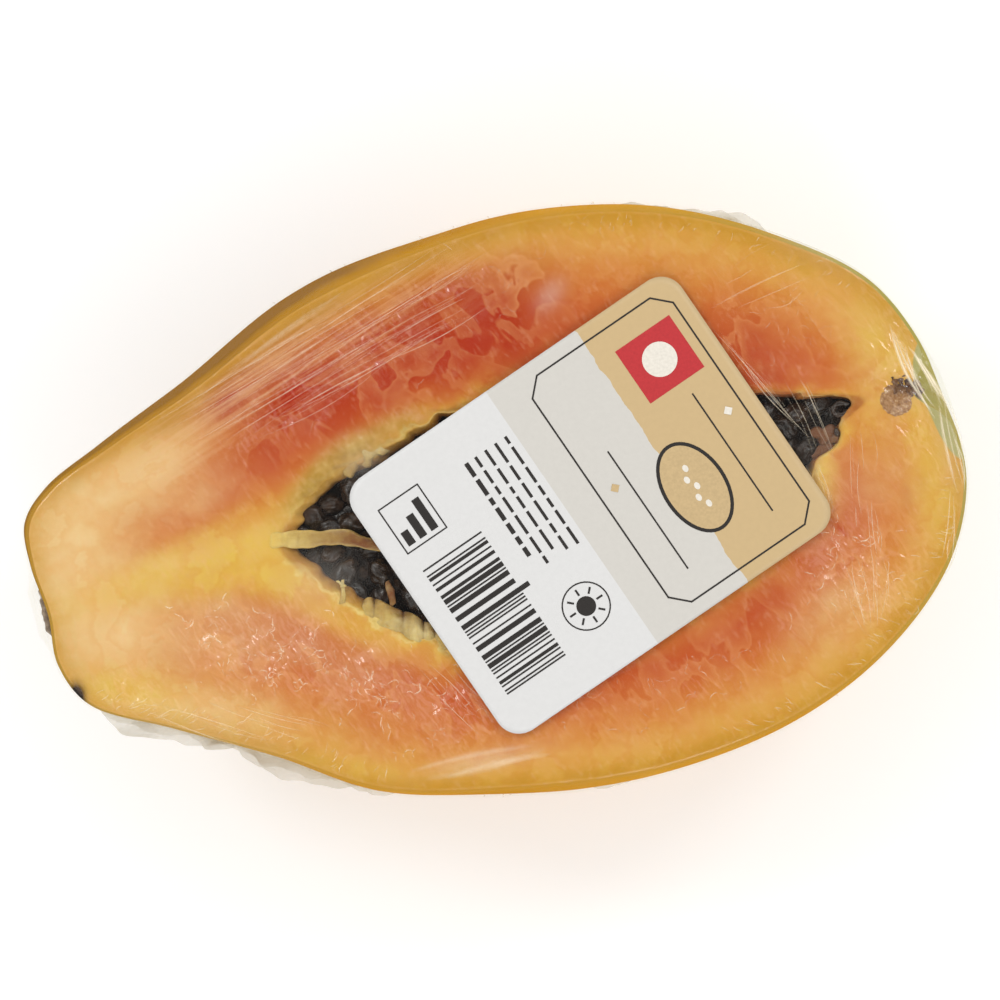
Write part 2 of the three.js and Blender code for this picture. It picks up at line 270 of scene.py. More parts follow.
cutOutline = outline(fruit["cutEdge"], fruit["centre"])
cavityRadius = outline(fruit["cavityEdge"], fruit["cavityCentre"])


def allRound(steps, angle):  # a smooth value round the fruit from equal steps of direction
    steps = np.array(steps)
    place = np.mod(angle / math.tau * len(steps), len(steps))
    low = np.floor(place).astype(int) % len(steps)
    share = smoothStep(place - np.floor(place))
    return steps[low] * (1 - share) + steps[(low + 1) % len(steps)] * share


def turns(segments, crowding=0.5):  # directions round the fruit, closer together at its two ends
    even = np.arange(segments) * math.tau / segments
    return even - crowding / 2 * np.sin(2 * even)


def cutRadius(angle):
    return cutOutline(angle) + allRound(fruit["wider"], angle)


def backPoint(angle, share, out=0.0):  # share 0 is the cut edge, 1 is the deepest point
    radius = cutRadius(angle) + out
    wide = radius + allRound(fruit["bulge"], angle)
    first = -np.arccos(radius / wide)
    latitude = first + (math.pi / 2 - first) * share
    middleX, middleY = fruit["centre"]
    x = middleX + wide * np.cos(latitude) * np.cos(angle)
    y = middleY + wide * np.cos(latitude) * np.sin(angle)
    rise = (fruit["equator"] - fruit["edgeRound"]) / np.sin(-first)
    neck = smoothStep((middleX - x) / (middleX - fruit["neckEnd"]))
    fall = fruit["depth"] - fruit["neckTaper"] * neck - fruit["equator"] + out
    z = -fruit["equator"] - np.where(latitude < 0, rise, fall) * np.sin(latitude)
    rib = fruit["ribHeight"] * np.cos(fruit["ribs"] * np.arctan2(y, -z)) * np.maximum(0, np.sin(latitude))
    z = np.maximum(z - rib, fruit["restFlat"] - fruit["depth"] - out)
    return np.stack([x, y, z], 1)


def facePoint(angle, radius, up=0.0):
    x = fruit["centre"][0] + radius * np.cos(angle)
    y = fruit["centre"][1] + radius * np.sin(angle)
    return np.stack([x, y, np.full_like(x, up)], 1)


def edgePoint(angle, share, out=0.0):  # share 0 is where the cut face starts to round, 1 the skin below it
    lean = share * math.pi / 2
    edge = fruit["edgeRound"]
    p = facePoint(angle, cutRadius(angle) - edge + (edge + out) * math.sin(lean))
    p[:, 2] = (edge + out) * math.cos(lean) - edge
    return p


def cavityPoint(angle, share, inset=0.0):  # share 0 is the floor, 1 the edge
    lean = share * math.pi / 2
    radius = (cavityRadius(angle) - inset) * math.sin(lean)
    x = fruit["cavityCentre"][0] + radius * np.cos(angle)
    y = fruit["cavityCentre"][1] + radius * np.sin(angle)
    z = np.full_like(x, -(fruit["cavityDepth"] - inset) * math.cos(lean) ** fruit["cavityRound"])
    return np.stack([x, y, z], 1)


def dimpled(p):
    x, y, z = fruit["dimple"]["at"]
    near = bell(np.hypot(p[:, 1] - y, p[:, 2] - z), fruit["dimple"]["wide"])
    p[:, 0] -= fruit["dimple"]["deep"] * near * bell(p[:, 0] - x, fruit["dimple"]["inwards"])
    return p


def overScar(p):  # the film bridges the stem scar
    scar = fruit["stemScar"]
    x, y, z = scar["at"]
    near = plateau(np.hypot(p[:, 1] - y, p[:, 2] - z), scar["spread"])
    p[:, 0] -= scar["bridge"] * near * bell(p[:, 0] - x, scar["long"])
    return p


# camera, lights and floor

studio = {
    "cameraHeight": 532, "frameWidth": 191.6, "roll": -12.5,
    "floor": "#fcfcfb", "floorSide": 3000, "sky": 1.05, "ceiling": 0.12, "glow": 0.14,
    # softboxes: where from (mm), side (mm), watts
    "softboxes": [((-420, 380, 620), 190, 0.95), ((460, 300, 560), 170, 0.6), ((60, -520, 520), 190, 0.55)],
}


def makeStudio():
    lens = bpy.data.cameras.new("camera")
    lens.sensor_width = 36
    lens.lens = lens.sensor_width * studio["cameraHeight"] / studio["frameWidth"]
    camera = bpy.data.objects.new("camera", lens)
    camera.location = origin + np.array([0, 0, studio["cameraHeight"] * mm])
    camera.rotation_euler = (0, 0, math.radians(studio["roll"]))
    bpy.context.scene.collection.objects.link(camera)
    bpy.context.scene.camera = camera

    # white walls all round and a darker ceiling, which the level film and the seeds mirror
    world = bpy.data.worlds.new("studio")
    world.use_nodes = True
    tree = world.node_tree
    height = node(tree, "SeparateXYZ", Vector=node(tree, "TexCoord").outputs["Generated"]).outputs["Z"]
    tone = node(tree, "ValToRGB", {"stops": [(0.0, 1.0), (0.83, 1.0), (0.94, studio["ceiling"])]}, Fac=height)
    wall = tree.nodes["Background"]
    tree.links.new(tone.outputs[0], wall.inputs["Color"])
    wall.inputs["Strength"].default_value = studio["sky"]
    world.cycles.sampling_method = "NONE"  # an even sky needs no map of where its light comes from
    bpy.context.scene.world = world
    for i, (place, side, power) in enumerate(studio["softboxes"]):
        light = bpy.data.lights.new(f"softbox{i}", "AREA")
        light.energy = power
        light.size = side * mm
        lamp = bpy.data.objects.new(f"softbox{i}", light)
        lamp.location = Vector(place) * mm
        lamp.rotation_euler = (-Vector(place)).to_track_quat("-Z", "Y").to_euler()
        bpy.context.scene.collection.objects.link(lamp)

    paper, tree = newMaterial("backlitPaperSweep")  # matt white paper on a light table: even, no gloss
    tone = node(tree, "ValToRGB", {"stops": [(0.3, studio["floor"]), (0.7, "#fdfdfc")]},
                Fac=grain(tree, 60, 0))
    node(tree, "OutputMaterial", Surface=node(
        tree, "BsdfPrincipled", Base_Color=tone, Roughness=0.9,
        Emission_Color="#ffffff", Emission_Strength=studio["glow"]))
    paper.cycles.emission_sampling = "NONE"  # too faint to be worth aiming light rays at
    data = bpy.data.meshes.new("floor")
    half = studio["floorSide"] / 2 * mm
    corners = [(-half, -half, 0), (half, -half, 0), (half, half, 0), (-half, half, 0)]
    data.from_pydata(corners, [], [(0, 1, 2, 3)])
    data.materials.append(paper)
    floor = bpy.data.objects.new("floor", data)
    bpy.context.scene.collection.objects.link(floor)
    bpy.context.scene.view_settings.view_transform = "Standard"
    print("studio ready")


makeStudio()

# papaya half: flesh and skin

flesh = {
    "segments": 560,
    "rings": {"wall": 20, "shelf": 7, "face": 74, "edge": 6, "back": 54},
    "faceRelief": 0.10, "fibreRelief": 0.05, "wallRelief": 0.5, "lip": 0.45,
    # the cavity's torn edge: how many notches round it, how deep (mm), where they start
    "notches": [(11, 0.55, 1), (23, 0.385, 0.5), (41, 0.22, 2)],
    # torn tissue slopes into the cavity: direction from its centre, half width in degrees, how wide (mm)
    "shelf": [(155, 22, 2.6), (174, 6, 3.0), (187, 7, 3.4), (205, 18, 0.9), (15, 16, 1.0), (-20, 18, 1.4)],
    "bruise": {"at": (-87.2, -18.9, -1), "half": (1.6, 2.4, 3.0)},
    # soft spots, see softSpots. blush is where the flesh is reddest, then where it is pale or yellow
    "blush": [
        (-33, 27, 16, 7, 26, 1.0), (-13, 31, 20, 9, 14, 1.0), (6, 32, 12, 9, 0, 0.95),
        (-45, 32, 9, 4.5, 30, 1.0), (-24, 37, 16, 4, 22, 0.45), (-34.6, 37.5, 8, 2, 26, 0.5),
        (53, 12, 7, 2.5, -20, 0.6), (2, 41, 13, 4.5, 6, 0.75), (53, 17, 9, 8, -50, 0.6),
        (61, -19, 6, 6, 60, 0.5), (45, -30, 13, 5, 35, 0.3), (26, -36, 14, 4, 12, 0.12),
        (2, -37, 16, 5, -4, 0.12), (-14, -33, 13, 7, -20, 0.12), (-38, -20, 14, 6, -30, 0.15),
        (-33, -39, 14, 5, -22, 0.1), (80.3, -13.9, 3.0, 1.3, 70, 0.4), (76.5, -16, 2.4, 1.0, 80, 0.25)],
    "cream": [
        (-84, 6, 12, 17, 0, 1.0), (-62, 1, 22, 3.2, 5, 0.8), (-63, 20, 9, 4.5, 20, 0.8),
        (-77, -9, 12, 8, 0, 0.85), (-57, 12.5, 9, 4, 10, 0.4), (-56, -8.6, 9, 4, -20, 0.4),
        (58, -34, 9, 6, 30, 0.4), (71, -12, 5, 6, 0, 0.3), (-64, -26, 16, 5, -24, 0.6),
        (-72, 18, 12, 6, 20, 0.7), (80, 13, 7, 8, 30, 0.5), (80, -14, 5, 12, 0, 0.15),
        (-52, -17, 10, 4.5, -15, 0.32), (-35, -25, 10, 4.5, -30, 0.26), (-61, -14, 8, 4, -10, 0.2)],
    "golden": [
        (-47, 1.5, 10, 5, 3, 0.9), (-66, -0.6, 20, 3.6, 4, 0.75), (-58, 5, 14, 2.4, 14, 0.5),
        (-47, -5, 7, 3.4, -34, 0.9), (-56, -3.5, 9, 3, 0, 0.8), (60.5, -11, 3, 6, -16, 0.85),
        (73, 1, 5, 9, 0, 0.6), (-34, -17, 13, 2.2, -38, 0.6), (-12, -29, 12, 1.8, -24, 0.35),
        (-77, -21, 8, 4, -20, 0.9), (-42, -43, 14, 2, -22, 0.6), (82.5, -11, 4, 18, 0, 0.9),
        (79, 13, 6, 9, 30, 0.8), (-72, -28, 10, 3, -26, 0.6), (-84, -20, 6, 4, 0, 0.6),
        (-30, 46, 16, 3, 22, 0.4)],
    # tissue of the placenta that stays on the cut
    "membrane": [(-35, 10.6, 7, 2.0, 36, 0.9), (-25, 15.4, 7, 2.4, 18, 0.9), (-16, 18.6, 5, 2.0, 14, 0.5)],
    # brownish rind tones that reach in from the side
    "shade": [
        (-47, 36.4, 14, 3.2, 24, 0.8), (-24, 44.6, 18, 3.0, 18, 0.95), (-2, 50, 16, 2.8, 7, 0.95),
        (-57, 30, 8, 2.6, 26, 0.7), (-31, 13.2, 6, 2.2, 34, 0.8), (-23.5, 13, 5, 2.4, 20, 0.6),
        (-74, 25, 12, 2.2, 26, 0.4)],
    # brown where seeds and air touched the torn edge
    "stained": [
        (69.0, 3, 5, 4, 20, 0.8), (61.5, -4.6, 3.4, 2.4, 30, 0.9), (56, 9.4, 8, 2.4, -20, 1.0),
        (-43, 3.2, 4, 2.0, 30, 0.6), (-42, -2.4, 5, 2.6, -40, 0.5)],
    # green skin that the cut edge bares at the dimple
    "peel": [(86.4, 7.4, 3.0, 5.6, -14, 1.6), (87.2, -3.4, 2.3, 7.0, 10, 1.6)],
    # where wrinkled film leaves islands of juice on it
    "flecked": [
        (-48, -17, 15, 8, -14, 0.8), (-30, -27, 16, 7, -30, 0.6), (-14, 27, 14, 6, 16, 0.5),
        (66, -26, 12, 9, -30, 0.7), (50, 22, 10, 9, 0, 0.5), (12, 39, 8, 5, 60, 1.0),
        (-10, -38, 18, 6, 0, 0.6), (30, -40, 18, 6, 15, 0.5), (0, 42, 26, 5, 8, 0.3),
        (-76, -12, 14, 12, 0, 0.5), (70, 22, 8, 10, 30, 0.5)],
    # where the film pulls it into stripes
    "striped": [(-44, 31, 20, 6, 22, 1.0), (-18, 39, 22, 6, 16, 0.9), (-60, 22, 12, 5, 24, 0.8)],
}


def ripePapayaFleshKnifeCut():
    # Flesh sliced with a knife: wet, softly translucent, mottled coral between yellow edges.
    made, tree = newMaterial("ripePapayaFleshKnifeCut")
    patches, mottle = grain(tree, 9, 4, 0.55), grain(tree, 2.4, 4, 0.6)
    # from the cavity's wall, below 0.33, across the cut face to the skin
    zone = node(tree, "Attribute", {"attribute_name": "zone"})
    colour = node(tree, "ValToRGB", {"stops": [
        (0.0, "#4a2a12"), (0.20, "#8a5a22"), (0.26, "#b08436"), (0.31, "#c99f46"), (0.335, "#e8cf80"),
        (0.35, "#deb050"), (0.38, "#d79a44"), (0.44, "#cd7738"), (0.54, "#c76130"), (0.66, "#cd7238"),
        (0.79, "#d58b42"), (0.88, "#dda252"), (0.94, "#dba44c"), (0.975, "#d09a38"), (1.0, "#c48e2c")]},
        Fac=wander(tree, zone, [(patches, 0.1333), (mottle, 0.0867)]))
    colour = stain(tree, colour, "#ae2f16", "blush", patches, 0.45)
    colour = stain(tree, colour, "#ecca90", "cream", patches, 0.5)
    colour = stain(tree, colour, "#e2ba55", "golden", mottle, 0.5)
    # deeper, more orange clouds 8 to 15 mm across, crisp on one side
    cloud = node(tree, "ValToRGB", {"stops": [(0.44, 0.0), (0.465, 0.4), (0.6, 0.075), (0.72, 0.0)]},
                 Fac=patches)
    colour = node(tree, "MixRGB", {"blend_type": "MULTIPLY"}, Fac=cloud, Color1=colour, Color2="#f6d6ae")
    # wet places where the film clings: a pale shore that fades inwards, 3 to 10 mm across
    clinging = node(tree, "Math", {"operation": "MULTIPLY_ADD"}, i1=0.294, i2=0.126,
                    i0=node(tree, "Attribute", {"attribute_name": "flecked"}))
    shore = node(tree, "ValToRGB", {"stops": [
        (0.485, 0.0), (0.505, 0.9), (0.56, 0.5), (0.66, 0.15), (0.74, 0.0)]},
        Fac=grain(tree, 8, 3, 0.5, (1, 1.5, 1), 24, 0.5))
    shore = node(tree, "Math", {"operation": "MULTIPLY"}, i0=shore, i1=clinging)
    colour = node(tree, "MixRGB", Fac=shore, Color1=colour, Color2="#efb274")
    colour = stain(tree, colour, "#b27e38", "shade", patches, 0.4, 0.85)
    colour = stain(tree, colour, "#9c5228", "stained", mottle, 0.5)
    colour = stain(tree, colour, "#c89432", "rim", mottle, 0.35)  # gold for the last 3 mm under the skin
    peel = node(tree, "ValToRGB", {"stops": [(0.42, 0.0), (0.5, 1.0)]},
                Fac=node(tree, "Attribute", {"attribute_name": "peel"}))
    colour = node(tree, "MixRGB", Fac=peel, Color1=colour, Color2="#aca467")
    tissue = node(tree, "Math", {"operation": "MULTIPLY"}, i0=mottle, i1=0.4)
    tissue = node(tree, "Math", {"operation": "MULTIPLY_ADD"}, i0=patches, i1=0.6, i2=tissue)
    torn = node(tree, "ValToRGB", {"stops": [
        (0.38, "#9c7434"), (0.46, "#b48f42"), (0.54, "#c8a45c"), (0.62, "#dcc48e")]}, Fac=tissue)
    colour = stain(tree, colour, torn, "membrane", patches, 0.6)
    # faint lighter flecks: cells and short fibres, 0.4 mm across, drawn coarser, and painted glints of the
    # film over the flesh
    flecks = node(tree, "ValToRGB", {"stops": [(0.56, 0.0), (0.72, 0.1)]},
                  Fac=grain(tree, 0.9, 1, 0.6, (1, 2.4, 1), 20))
    colour = node(tree, "MixRGB", Fac=flecks, Color1=colour, Color2="#f0c59a")
    # stripes 0.5 to 1 mm wide and up to 40 mm long
    stripes = node(tree, "ValToRGB", {"stops": [(0.45, 0.0), (0.62, 0.4)]},
                   Fac=grain(tree, 0.9, 3, 0.6, (26, 1, 1), 20))
    stripes = node(tree, "Math", {"operation": "MULTIPLY"}, i0=stripes,
                   i1=node(tree, "Attribute", {"attribute_name": "striped"}))
    colour = node(tree, "MixRGB", Fac=stripes, Color1=colour, Color2="#e6b682")
    colour = stain(tree, colour, "#3a2414", "bruise", mottle, 0.6)
    height = node(tree, "Math", {"operation": "MULTIPLY_ADD"},
                  i0=grain(tree, 0.8, 1), i1=0.4, i2=grain(tree, 4, 1))
    relief = node(tree, "Bump", Height=height, Distance=0.3 * mm, Strength=0.6)
    node(tree, "OutputMaterial", Surface=node(
        tree, "BsdfPrincipled", Base_Color=colour, Roughness=0.4, IOR=1.36, Specular_IOR_Level=0.12,
        Normal=relief, Subsurface_Weight=0.1, Subsurface_Radius=(1.0, 0.45, 0.2), Subsurface_Scale=1.4 * mm))
    return made


def waxyPapayaSkin():
    # Smooth waxy skin that ripens from green to gold: fine speckles, soft patches. The film has its gloss.
    made, tree = newMaterial("waxyPapayaSkin")
    colour = node(tree, "ValToRGB", {"stops": [(0.3, "#bd8420"), (0.5, "#c68c26"), (0.7, "#cf9830")]},
                  Fac=grain(tree, 22, 3, 0.5))
    colour = stain(tree, colour, "#c08c2e", "rind", grain(tree, 3, 3), 0.4)
    # the upper side's own olive-brown tone, with painted shade that darkens it towards the silhouette
    colour = stain(tree, colour, "#8c601c", "olive", grain(tree, 8, 4), 0.5)
    colour = stain(tree, colour, "#a3984a", "green", grain(tree, 12, 4), 0.45)
    specks = node(tree, "ValToRGB", {"stops": [(0.68, 0.0), (0.76, 0.35)]}, Fac=grain(tree, 0.9, 2, 0.4))
    colour = node(tree, "MixRGB", Fac=specks, Color1=colour, Color2="#8a6420")
    colour = stain(tree, colour, "#1d1510", "bruise", grain(tree, 1.6, 4), 0.6)
    height = node(tree, "Math", {"operation": "MULTIPLY_ADD"},
                  i0=grain(tree, 0.6, 2), i1=0.15, i2=grain(tree, 5, 2))
    relief = node(tree, "Bump", Height=height, Distance=0.3 * mm, Strength=0.5)
    node(tree, "OutputMaterial", Surface=node(
        tree, "BsdfPrincipled", Base_Color=colour, Roughness=0.5, IOR=1.42, Specular_IOR_Level=0.0,
        Normal=relief))
    return made


def makePapayaHalf():
    angle = turns(flesh["segments"])
    count = flesh["rings"]
    outward = np.stack([np.cos(angle), np.sin(angle), np.zeros_like(angle)], 1)
    lumps, fine = waves(3, 7), waves(4, 2.6)
    # the cavity's edge is uneven where the placenta tore off
    inner = cavityPoint(angle, 1.0)
    ragged = sum(deep * np.sin(ways * angle + start) for ways, deep, start in flesh["notches"])
    ragged = ragged + 0.7 * waves(5, 7)(inner) + 0.3 * waves(6, 2.8)(inner)
    inner = inner + ragged[:, None] * outward
    outer = facePoint(angle, cutRadius(angle) - fruit["edgeRound"])
    shelf = np.full(len(angle), 0.5)
    for at, half, wide in flesh["shelf"]:
        uneven = 1 + 0.2 * np.sin(19 * angle) + 0.12 * np.sin(37 * angle)
        shelf = np.maximum(shelf, wide * bell(degreesApart(np.degrees(angle), at), half) * uneven)
    # zones: -0.5 is the cavity's floor, 0 its edge, 1 the skin
    rings, zones = [], []
    for i in range(count["wall"]):
        share = (i / count["wall"]) ** 0.7 * 0.96
        p = cavityPoint(angle, share)
        near = smoothStep((share - 0.75) / 0.21)
        p[:, :2] += (ragged - shelf)[:, None] * outward[:, :2] * near
        p += outward * (flesh["wallRelief"] * fine(p) * (1 - near * 0.7))[:, None]
        rings.append(p)
        zones.append(np.full(len(angle), -0.5 + 0.3 * share))
    for i in range(count["shelf"]):
        share = (i + 0.5) / count["shelf"]
        p = inner - outward * (shelf * (1 - share))[:, None]
        p[:, 2] = -0.4 - 1.7 * (1 - share) ** 1.6 - 0.25 * (1 + fine(p * 1.6)) * (1 - share)
        rings.append(p)
        zones.append(np.full(len(angle), -0.14 + 0.135 * share))
    for i in range(count["face"] + 1):
        share = i / count["face"]
        share = share + 0.12 * math.sin(math.tau * share) / math.tau  # a little closer at both edges
        p = inner + (outer - inner) * share
        lip = flesh["lip"] * bell(share, 0.02)  # the lip of the cavity is rounded over
        p[:, 2] = -lip - flesh["faceRelief"] * (1 + lumps(p)) / 2 - flesh["fibreRelief"] * (1 + fine(p)) / 2
        rings.append(dimpled(p))
        zones.append(np.full(len(angle), share))
    for i in range(1, count["edge"] + 1):
        rings.append(dimpled(edgePoint(angle, i / count["edge"])))
        zones.append(np.ones(len(angle)))
    for i in range(1, count["back"]):
        rings.append(dimpled(backPoint(angle, (i / count["back"]) ** 1.15)))
        zones.append(np.ones(len(angle)))
    points, faces = lathe(rings, closeStart=True, closeEnd=True)
    zone = np.concatenate(zones + [[-0.5, 1.0]])
    # flesh as far as a little round the cut edge, then skin; the cavity's floor comes after the rings
    kinds = np.ones(len(faces), int)
    kinds[:(count["wall"] + count["shelf"] + count["face"] + 2) * len(angle)] = 0
    floor = (len(rings) - 1) * len(angle)
    kinds[floor:floor + len(angle)] = 0

    around, reach = polar(points, fruit["centre"])
    side = np.degrees(around)
    fromEdge = reach - cutRadius(around)
    past = np.where(points[:, 2] < -fruit["equator"], 1, fromEdge / allRound(fruit["bulge"], around))
    past = np.clip(past, 0, 1)  # 0 at the cut edge, 1 where the skin is widest
    wayOut, torn = polar(points, fruit["cavityCentre"])
    torn = np.clip(torn - cavityRadius(wayOut) + 0.2, 0, 60)  # how far from the cavity's edge (mm)
    rimWide = 2.3 + 2.0 * bell(degreesApart(side, 25), 40)
    upperSide = 1.5 * bell(degreesApart(side, 142), 30) + 0.5 * bell(degreesApart(side, 185), 14)
    bruise = np.linalg.norm((points - flesh["bruise"]["at"]) / flesh["bruise"]["half"], axis=1)
    fields = {name: softSpots(points, flesh[name]) for name in (
        "peel", "blush", "cream", "golden", "membrane", "shade", "striped", "flecked")}
    fields["stained"] = softSpots(points, flesh["stained"]) * np.exp(-torn / 0.55)
    fields["zone"] = (zone + 0.5) / 1.5
    fields["rim"] = 1.1 * np.exp(fromEdge.clip(-60, 0) / rimWide)
    # olive on the upper side: partly the skin's own tone, partly painted shade that grows towards the
    # silhouette
    fields["olive"] = upperSide * (0.35 + 0.65 * smoothStep(1.6 * past))
    fields["green"] = 1.2 * bell(degreesApart(side, 8), 22) + 0.3 * bell(degreesApart(side, 190), 16)
    fields["rind"] = bell(points[:, 2] + 0.8, 1.0)
    fields["bruise"] = np.clip(1.7 * bell(bruise, 0.6), 0, 1)
    made = makePiece("papaya_half", points, faces, [ripePapayaFleshKnifeCut(), waxyPapayaSkin()],
                     "papaya_flesh", fields, kinds)
    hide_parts("fruit")


makePapayaHalf()

# seeds in the cavity, on a bed of dark pulp

heap = {"level": -2.4, "lump": 0.7, "apart": 13, "rimDrop": 2.2, "brim": 6}
seedPile = {
    "long": 5.8, "wide": 4.5, "sizes": 0.08, "spacing": 3.9, "ridges": 0.15455, "knobs": 0.03, "tilt": 0.5,
    "layers": [(0.0, 1.0), (-3.2, 1.12)],  # how much lower, how much farther apart
    "within": ((-42, 71), (-32, 20)), "tries": 9000, "inset": 1.6,
    "filmLevel": -0.12,
    "fineWindows": (-15, 50),  # finer seeds left and right of the label
    # a torn, empty seed coat at the blossom end, an open ring: middle, half length, half width, height
    "tornCoat": {"at": (67.6, 2.9), "half": (1.5, 1.1), "high": -0.75, "opening": (0.4, 5.9)},
    "smallSeed": {"at": (65.9, -1.3, -0.8), "half": (0.5, 0.85, 0.5)},
}


def heapTop(x, y):  # height of the seeds' top at a place in the cavity, and how near that is to the edge
    dx, dy = x - fruit["cavityCentre"][0], y - fruit["cavityCentre"][1]
    share = np.hypot(dx, dy) / cavityRadius(np.arctan2(dy, dx))
    u, v = math.tau * x / heap["apart"], math.tau * y / heap["apart"]
    lump = np.sin(u + 0.4 * v) * np.sin(v - 0.3 * u)
    drop = heap["rimDrop"] * np.clip(share, 0, 1) ** heap["brim"]
    return heap["level"] + heap["lump"] * lump - drop, share


def wetPapayaSeedCoat():
    # Seed coats in their wet gel: near black, ridged, with a clear glossy skin over the ridges.
    made, tree = newMaterial("wetPapayaSeedCoat")
    colour = node(tree, "ValToRGB", {"stops": [(0.3, "#130b06"), (0.5, "#26190f"), (0.7, "#432c1b")]},
                  Fac=grain(tree, 5, 3, 0.6))
    grey = node(tree, "ValToRGB", {"stops": [(0.5, 0.0), (0.8, 0.35)]}, Fac=grain(tree, 1.2, 3, 0.6))
    colour = node(tree, "MixRGB", Fac=grey, Color1=colour, Color2="#554232")
    rough = node(tree, "ValToRGB", {"stops": [(0.3, 0.18), (0.7, 0.4)]}, Fac=grain(tree, 3, 2))
    relief = node(tree, "Bump", Height=grain(tree, 0.7, 3, 0.6), Distance=0.2 * mm, Strength=0.7)
    node(tree, "OutputMaterial", Surface=node(
        tree, "BsdfPrincipled", Base_Color=colour, Roughness=rough, IOR=1.45, Normal=relief,
        Coat_Weight=0.3, Coat_Roughness=0.12))
    return made


def darkSeedPulp():
    # Slimy pulp between the seeds: brown black, wet.
    made, tree = newMaterial("darkSeedPulp")
    colour = node(tree, "ValToRGB", {"stops": [(0.35, "#0d0907"), (0.55, "#2a1a10"), (0.75, "#5a3a1e")]},
                  Fac=grain(tree, 3, 4, 0.6))
    relief = node(tree, "Bump", Height=grain(tree, 1.5, 3), Distance=0.5 * mm, Strength=0.8)
    node(tree, "OutputMaterial", Surface=node(
        tree, "BsdfPrincipled", Base_Color=colour, Roughness=0.2, IOR=1.38, Normal=relief))
    return made


def ballPoints(divisions):  # a unit ball of triangles
    shape = bmesh.new()
    bmesh.ops.create_icosphere(shape, subdivisions=divisions, radius=1)
    points = np.array([v.co[:] for v in shape.verts])
    faces = [[v.index for v in f.verts] for f in shape.faces]
    shape.free()
    return points, faces


def turnedBy(dice, tilt):  # a random rotation matrix, leaning up to tilt radians from flat
    spin, lean, roll = dice.uniform(0, math.tau), dice.uniform(-tilt, tilt), dice.uniform(0, math.tau)
    c, s = math.cos, math.sin
    about = np.array([[c(spin), -s(spin), 0], [s(spin), c(spin), 0], [0, 0, 1]])
    leaning = np.array([[c(lean), 0, s(lean)], [0, 1, 0], [-s(lean), 0, c(lean)]])
    rolled = np.array([[1, 0, 0], [0, c(roll), -s(roll)], [0, s(roll), c(roll)]])
    return about @ leaning @ rolled


def ridgedSeed(ball, dice, size):
    # ridges run along the seed and wander; the ends are a little pointed
    around = np.arctan2(ball[:, 2], ball[:, 1])
    ways = dice.randint(5, 7)
    bend = 1.2 * np.sin(3 * ball[:, 0] + dice.uniform(0, 6))
    crest = np.abs(np.sin(ways * around / 2 + bend)) ** 0.7
    knobs = np.sin(9 * ball[:, 0] + 4 * around + dice.uniform(0, 6))
    wall = 1 + seedPile["ridges"] * (crest - 0.6) + seedPile["knobs"] * knobs
    wall *= 1 + 0.1 * np.abs(ball[:, 0]) ** 3
    half = np.array([seedPile["long"], seedPile["wide"], seedPile["wide"]]) / 2 * size
    return ball * wall[:, None] * half @ turnedBy(dice, seedPile["tilt"]).T


def makeSeeds():
    dice = random.Random(11)
    fineBall, plainBall = ballPoints(4), ballPoints(3)
    (lowX, highX), (lowY, highY) = seedPile["within"]
    middleX, middleY = fruit["cavityCentre"]
    parts = []
    for drop, wider in seedPile["layers"]:
        spots = []
        gap = seedPile["spacing"] * wider
        for _ in range(seedPile["tries"]):
            x, y = dice.uniform(lowX, highX), dice.uniform(lowY, highY)
            top, share = heapTop(np.array([x]), np.array([y]))
            edge = cavityRadius(np.arctan2(y - middleY, x - middleX))
            if share[0] * edge > edge - seedPile["inset"] - drop * 0.3:
                continue
            if any((x - a) ** 2 + (y - b) ** 2 < gap * gap for a, b in spots):
                continue
            spots.append((x, y))
            size = dice.gauss(1, seedPile["sizes"])
            inSight = drop == 0 and not seedPile["fineWindows"][0] <= x <= seedPile["fineWindows"][1]
            ball, ballFaces = fineBall if inSight else plainBall
            p = ridgedSeed(ball, dice, size)
            sunk = 0.42 * seedPile["wide"]
            p = p + np.array([x, y, top[0] + drop - sunk + dice.uniform(-0.5, 0.35)])
            pressed = seedPile["filmLevel"] + 0.02 * np.sin(p[:, 0] * 3)  # the film presses on them
            p[:, 2] = np.minimum(p[:, 2], pressed)
            parts.append((p, ballFaces))
    print(f"{len(parts)} seeds")
    coat = seedPile["tornCoat"]
    turn = np.arange(14) * math.tau / 14
    rings = []
    for t in np.linspace(*coat["opening"], 44):
        thick = 0.5 + 0.1 * math.sin(5 * t)
        out = np.array([math.cos(t), math.sin(t)])
        spine = np.array(coat["at"]) + out * np.array(coat["half"])
        rings.append(np.stack([
            spine[0] + out[0] * thick * np.cos(turn), spine[1] + out[1] * thick * np.cos(turn),
            coat["high"] + 0.9 * thick * np.sin(turn) + 0.15 * math.sin(3 * t)], 1))
    parts.append(lathe(rings, closeStart=True, closeEnd=True))
    small = seedPile["smallSeed"]
    parts.append((plainBall[0] * np.array(small["half"]) + np.array(small["at"]), plainBall[1]))
    made = makePiece("papaya_seeds", *joined(parts), [wetPapayaSeedCoat()], "papaya_seed")
    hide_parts("seeds")


def makePulp():
    angle = turns(220, 0)
    lumps = waves(8, 4)
    centre = np.array([*fruit["cavityCentre"], 0])
    rim = cavityPoint(angle, 0.9, 0.2)
    rings = []
    for share in (0.01, 0.12, 0.25, 0.4, 0.55, 0.68, 0.8, 0.9, 0.96, 1.0):
        p = centre + (rim - centre) * share
        top, _ = heapTop(p[:, 0], p[:, 1])
        p[:, 2] = top - 1.5 + 0.45 * lumps(p) - 1.8 * share ** 8
        rings.append(p)
    for share in (0.8, 0.6, 0.35, 0.05):
        rings.append(cavityPoint(angle, share, 0.4))
    makePiece("seed_pulp", *lathe(rings, closeStart=True, closeEnd=True), [darkSeedPulp()], "papaya_seed")


makePulp()
makeSeeds()

# the stalk of placenta in the cavity's stem end, and the lobes that the seeds grew on

